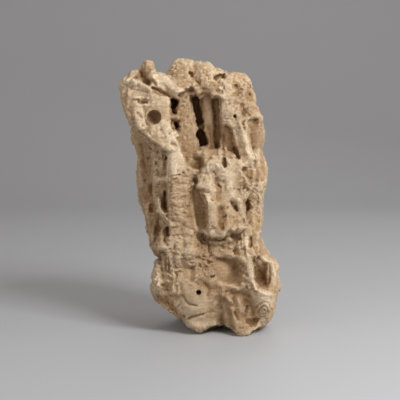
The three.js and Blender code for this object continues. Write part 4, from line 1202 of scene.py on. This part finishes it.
def rock_material(colours):
    """Sandstone with rust, pale worn crests, brown hollows, painted light and painted shade, thin beds and
    sand grains.
    """
    material = bpy.data.materials.new("sandstone")
    material.use_nodes = True
    tree = material.node_tree
    tree.nodes.clear()
    place = node(tree, "ShaderNodeTexCoord").outputs["Object"]
    fine_hollow, broad_hollow, _ = channels(tree, "wear_and_hollow_shade")
    bleach_and_light, darkened, _ = channels(tree, "paint")
    sand = grouped(tree, sand_group(), Vector=place, Scale=700.0)
    beds = grouped(tree, bedding_group(), Vector=place, Pitch=3.6)

    def paint(name):
        return (*getattr(colours, name), 1.0)

    def times(first, second):
        return worked(tree, "MULTIPLY", first, second)

    def plus(first, second, clamp=False):
        return worked(tree, "ADD", first, second, clamp)

    patches = ranged(tree, noise_of(tree, place, 28.0), 0.42, 0.62)
    rust = ranged(tree, noise_of(tree, place, 55.0, 6.0, 0.65), 0.52, 0.72)
    # Crests pale as worn stone; hollows and darker places take the hollow colour, partly as painted shade;
    # paler places take the crest colour, partly as painted light.
    crests = plus(ranged(tree, fine_hollow, 0.5, 0.15), ranged(tree, broad_hollow, 0.5, 0.25))
    hollows = plus(ranged(tree, fine_hollow, 0.55, 0.95), ranged(tree, broad_hollow, 0.55, 0.95))
    worn = times(times(crests, WEAR_AND_HOLLOW_SHADE_SHARE), ranged(tree, patches, 0.0, 1.0, 0.5, 1.15))
    pale = plus(worn, times(bleach_and_light, PAINT_SHARE), clamp=True)
    stain_and_shade = plus(times(hollows, WEAR_AND_HOLLOW_SHADE_SHARE), times(darkened, PAINT_SHARE), clamp=True)
    bands = ranged(tree, beds["Bands"], 0.0, 1.0, 0.97, 1.02)
    grains = ranged(tree, sand["Speckle"], 0.25, 0.75, 0.86, 1.12)
    tone = times(bands, grains)
    grey = node(tree, "ShaderNodeCombineColor", Red=tone, Green=tone, Blue=tone).outputs[0]

    colour = mixed(tree, times(rust, RUST_SHARE), paint("body"), paint("rust"))
    colour = mixed(tree, pale, colour, paint("crest"))
    colour = mixed(tree, stain_and_shade, colour, paint("hollow"))
    colour = mixed(tree, 1.0, colour, grey, "MULTIPLY")
    height = plus(sand["Height"], times(noise_of(tree, place, 260.0, 5.0, 0.6), 1.2))
    bump = node(tree, "ShaderNodeBump", Strength=0.7, Distance=0.8 * MM, Height=height).outputs[0]
    shader = node(tree, "ShaderNodeBsdfPrincipled", Base_Color=colour, Roughness=0.93,
                  Specular_IOR_Level=0.25, Normal=bump)
    node(tree, "ShaderNodeOutputMaterial", Surface=shader.outputs[0])
    return material


class ROCK_OT_finish(bpy.types.Operator):
    """Measures where the rock is hollow or crested, paints it as sandstone with painted light and painted
    shade, and sets it on its body
    """

    bl_idname = "rock.finish"
    bl_label = "Finish"

    def execute(self, context):
        rock = rock_object()
        points, normals = skin_of(rock)
        # Paled crests are worn stone; darker hollows are partly patina and partly painted shade.
        self.hold(rock, "wear_and_hollow_shade", [self.hollowness(rock, points, normals, *values) for values in WEAR])
        self.hold(rock, "paint", self.paint(points, normals))
        rock.data.materials.clear()
        rock.data.materials.append(rock_material(context.scene.rock_colours))
        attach(rock, "root")
        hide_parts("sandstone_rock")
        return {"FINISHED"}

    @staticmethod
    def hollowness(rock, points, normals, times, full):
        """0 on the sharpest crests, 1 in the deepest hollows."""
        depth = np.einsum("ij,ij->i", evened(rock, points, times) - points, normals)
        return np.clip(0.5 + 0.5 * depth / full, 0, 1)

    @staticmethod
    def paint(points, normals):
        """Shares that are paler and darker: on the front as the view's marks place them, partly bleaching and
        stains and partly painted light and painted shade; mottled behind.
        """
        shift = np.stack([lattice_noise(points, 6 * MM, seed) for seed in PAINT_SEEDS], 1)
        pixels = seen_at(points) + PAINT_WAVER * shift
        front, behind = on_front(points, normals), hidden(points, normals)
        mottled = layered_noise(points * (1, 1, 0.5), 30 * MM, MOTTLING_SEED)
        # Paler share: bleaching and painted light on the front, random mottling behind.
        bleach_and_light = np.maximum(coverage(pixels, front, BLEACHES_AND_PAINTED_LIGHT), 0.7 * behind * fade(mottled, 0.05, 0.6))
        # Darker share: stains and painted shade on the front, random mottling behind.
        darkened = np.maximum(coverage(pixels, front, STAINS_AND_PAINTED_SHADE), 0.5 * behind * fade(-mottled, 0.2, 0.7))
        return bleach_and_light, darkened

    @staticmethod
    def hold(rock, name, shares):
        """Stores shares on the skin, as the first channels of a colour."""
        colours = np.ones((len(rock.data.vertices), 4), np.float32)
        for channel, share in enumerate(shares):
            colours[:, channel] = share
        layer = rock.data.attributes.new(name, "FLOAT_COLOR", "POINT")
        layer.data.foreach_set("color", colours.ravel())


class ROCK_OT_stage(bpy.types.Operator):
    """Sets the pale floor and backdrop, the soft lights and the camera"""

    bl_idname = "rock.stage"
    bl_label = "Stage"

    def execute(self, context):
        self.floor(context.scene.rock_colours.floor)
        for light in LIGHTS:
            self.light(context, *light)
        world = bpy.data.worlds.new("studio air")
        world.use_nodes = True
        air = world.node_tree.nodes["Background"]
        air.inputs["Color"].default_value = AIR_COLOUR
        air.inputs["Strength"].default_value = AIR_STRENGTH
        context.scene.world = world
        context.scene.view_settings.view_transform = "Standard"
        self.camera(context)
        return {"FINISHED"}

    @staticmethod
    def floor(colour):
        """A floor that bends up into a wall behind the rock."""
        bpy.ops.object.select_all(action="DESELECT")
        bpy.ops.mesh.primitive_plane_add(size=FLOOR_WIDTH, location=(0, 0, 0))
        floor = bpy.context.object
        floor.name = "studio_floor"
        bpy.ops.object.mode_set(mode="EDIT")
        bpy.ops.mesh.select_all(action="DESELECT")
        bpy.ops.object.mode_set(mode="OBJECT")
        for edge in floor.data.edges:
            edge.select = all(floor.data.vertices[i].co.y > 0.45 * FLOOR_WIDTH for i in edge.vertices)
        bpy.ops.object.mode_set(mode="EDIT")
        bpy.ops.mesh.select_mode(type="EDGE")
        bpy.ops.mesh.extrude_region_move(TRANSFORM_OT_translate={"value": (0, 0, WALL_HEIGHT)})
        bpy.ops.object.mode_set(mode="OBJECT")
        apply_modifier(floor, "BEVEL", width=WALL_BEND, segments=12, limit_method="ANGLE")
        bpy.ops.object.shade_smooth()
        material = bpy.data.materials.new("pale floor")
        material.use_nodes = True
        shader = material.node_tree.nodes["Principled BSDF"]
        shader.inputs["Base Color"].default_value = (*colour, 1)
        shader.inputs["Roughness"].default_value = 0.6
        floor.data.materials.append(material)

    @staticmethod
    def light(context, name, place, size, power, tint):
        data = bpy.data.lights.new(name, "AREA")
        data.energy = power
        data.size = size
        data.color = tint
        light = bpy.data.objects.new(name, data)
        context.scene.collection.objects.link(light)
        light.location = place
        light.rotation_euler = (VIEW_TARGET - Vector(place)).to_track_quat("-Z", "Y").to_euler()

    @staticmethod
    def camera(context):
        data = bpy.data.cameras.new("camera")
        data.lens = VIEW_LENS
        data.sensor_width = VIEW_SENSOR
        camera = bpy.data.objects.new("camera", data)
        context.scene.collection.objects.link(camera)
        camera.location = CAMERA_PLACE
        camera.rotation_euler = (-VIEW_BACK).to_track_quat("-Z", "Y").to_euler()
        context.scene.camera = camera


class ROCK_PT_panel(bpy.types.Panel):
    """Steps, sizes and colours of the rock."""

    bl_idname = "ROCK_PT_panel"
    bl_label = "Sandstone Rock"
    bl_space_type = "VIEW_3D"
    bl_region_type = "UI"
    bl_category = "Sandstone"

    def draw(self, context):
        column = self.layout.column(align=True)
        for step in STEPS:
            column.operator(step.bl_idname)
        for group in (context.scene.rock_sizes, context.scene.rock_colours):
            for name in group.__annotations__:
                self.layout.prop(group, name)


STEPS = (ROCK_OT_block, ROCK_OT_carve, ROCK_OT_weather, ROCK_OT_drill, ROCK_OT_finish, ROCK_OT_stage)
CLASSES = (RockSizes, RockColours, *STEPS, ROCK_PT_panel)


def register():
    for item in CLASSES:
        bpy.utils.register_class(item)
    bpy.types.Scene.rock_sizes = bpy.props.PointerProperty(type=RockSizes)
    bpy.types.Scene.rock_colours = bpy.props.PointerProperty(type=RockColours)


def unregister():
    del bpy.types.Scene.rock_colours
    del bpy.types.Scene.rock_sizes
    for item in reversed(CLASSES):
        bpy.utils.unregister_class(item)


def main():
    register()
    bpy.ops.rock.block()
    bpy.ops.rock.carve()
    bpy.ops.rock.weather()
    bpy.ops.rock.drill()
    bpy.ops.rock.finish()
    bpy.ops.rock.stage()


if __name__ == "__main__":
    main()
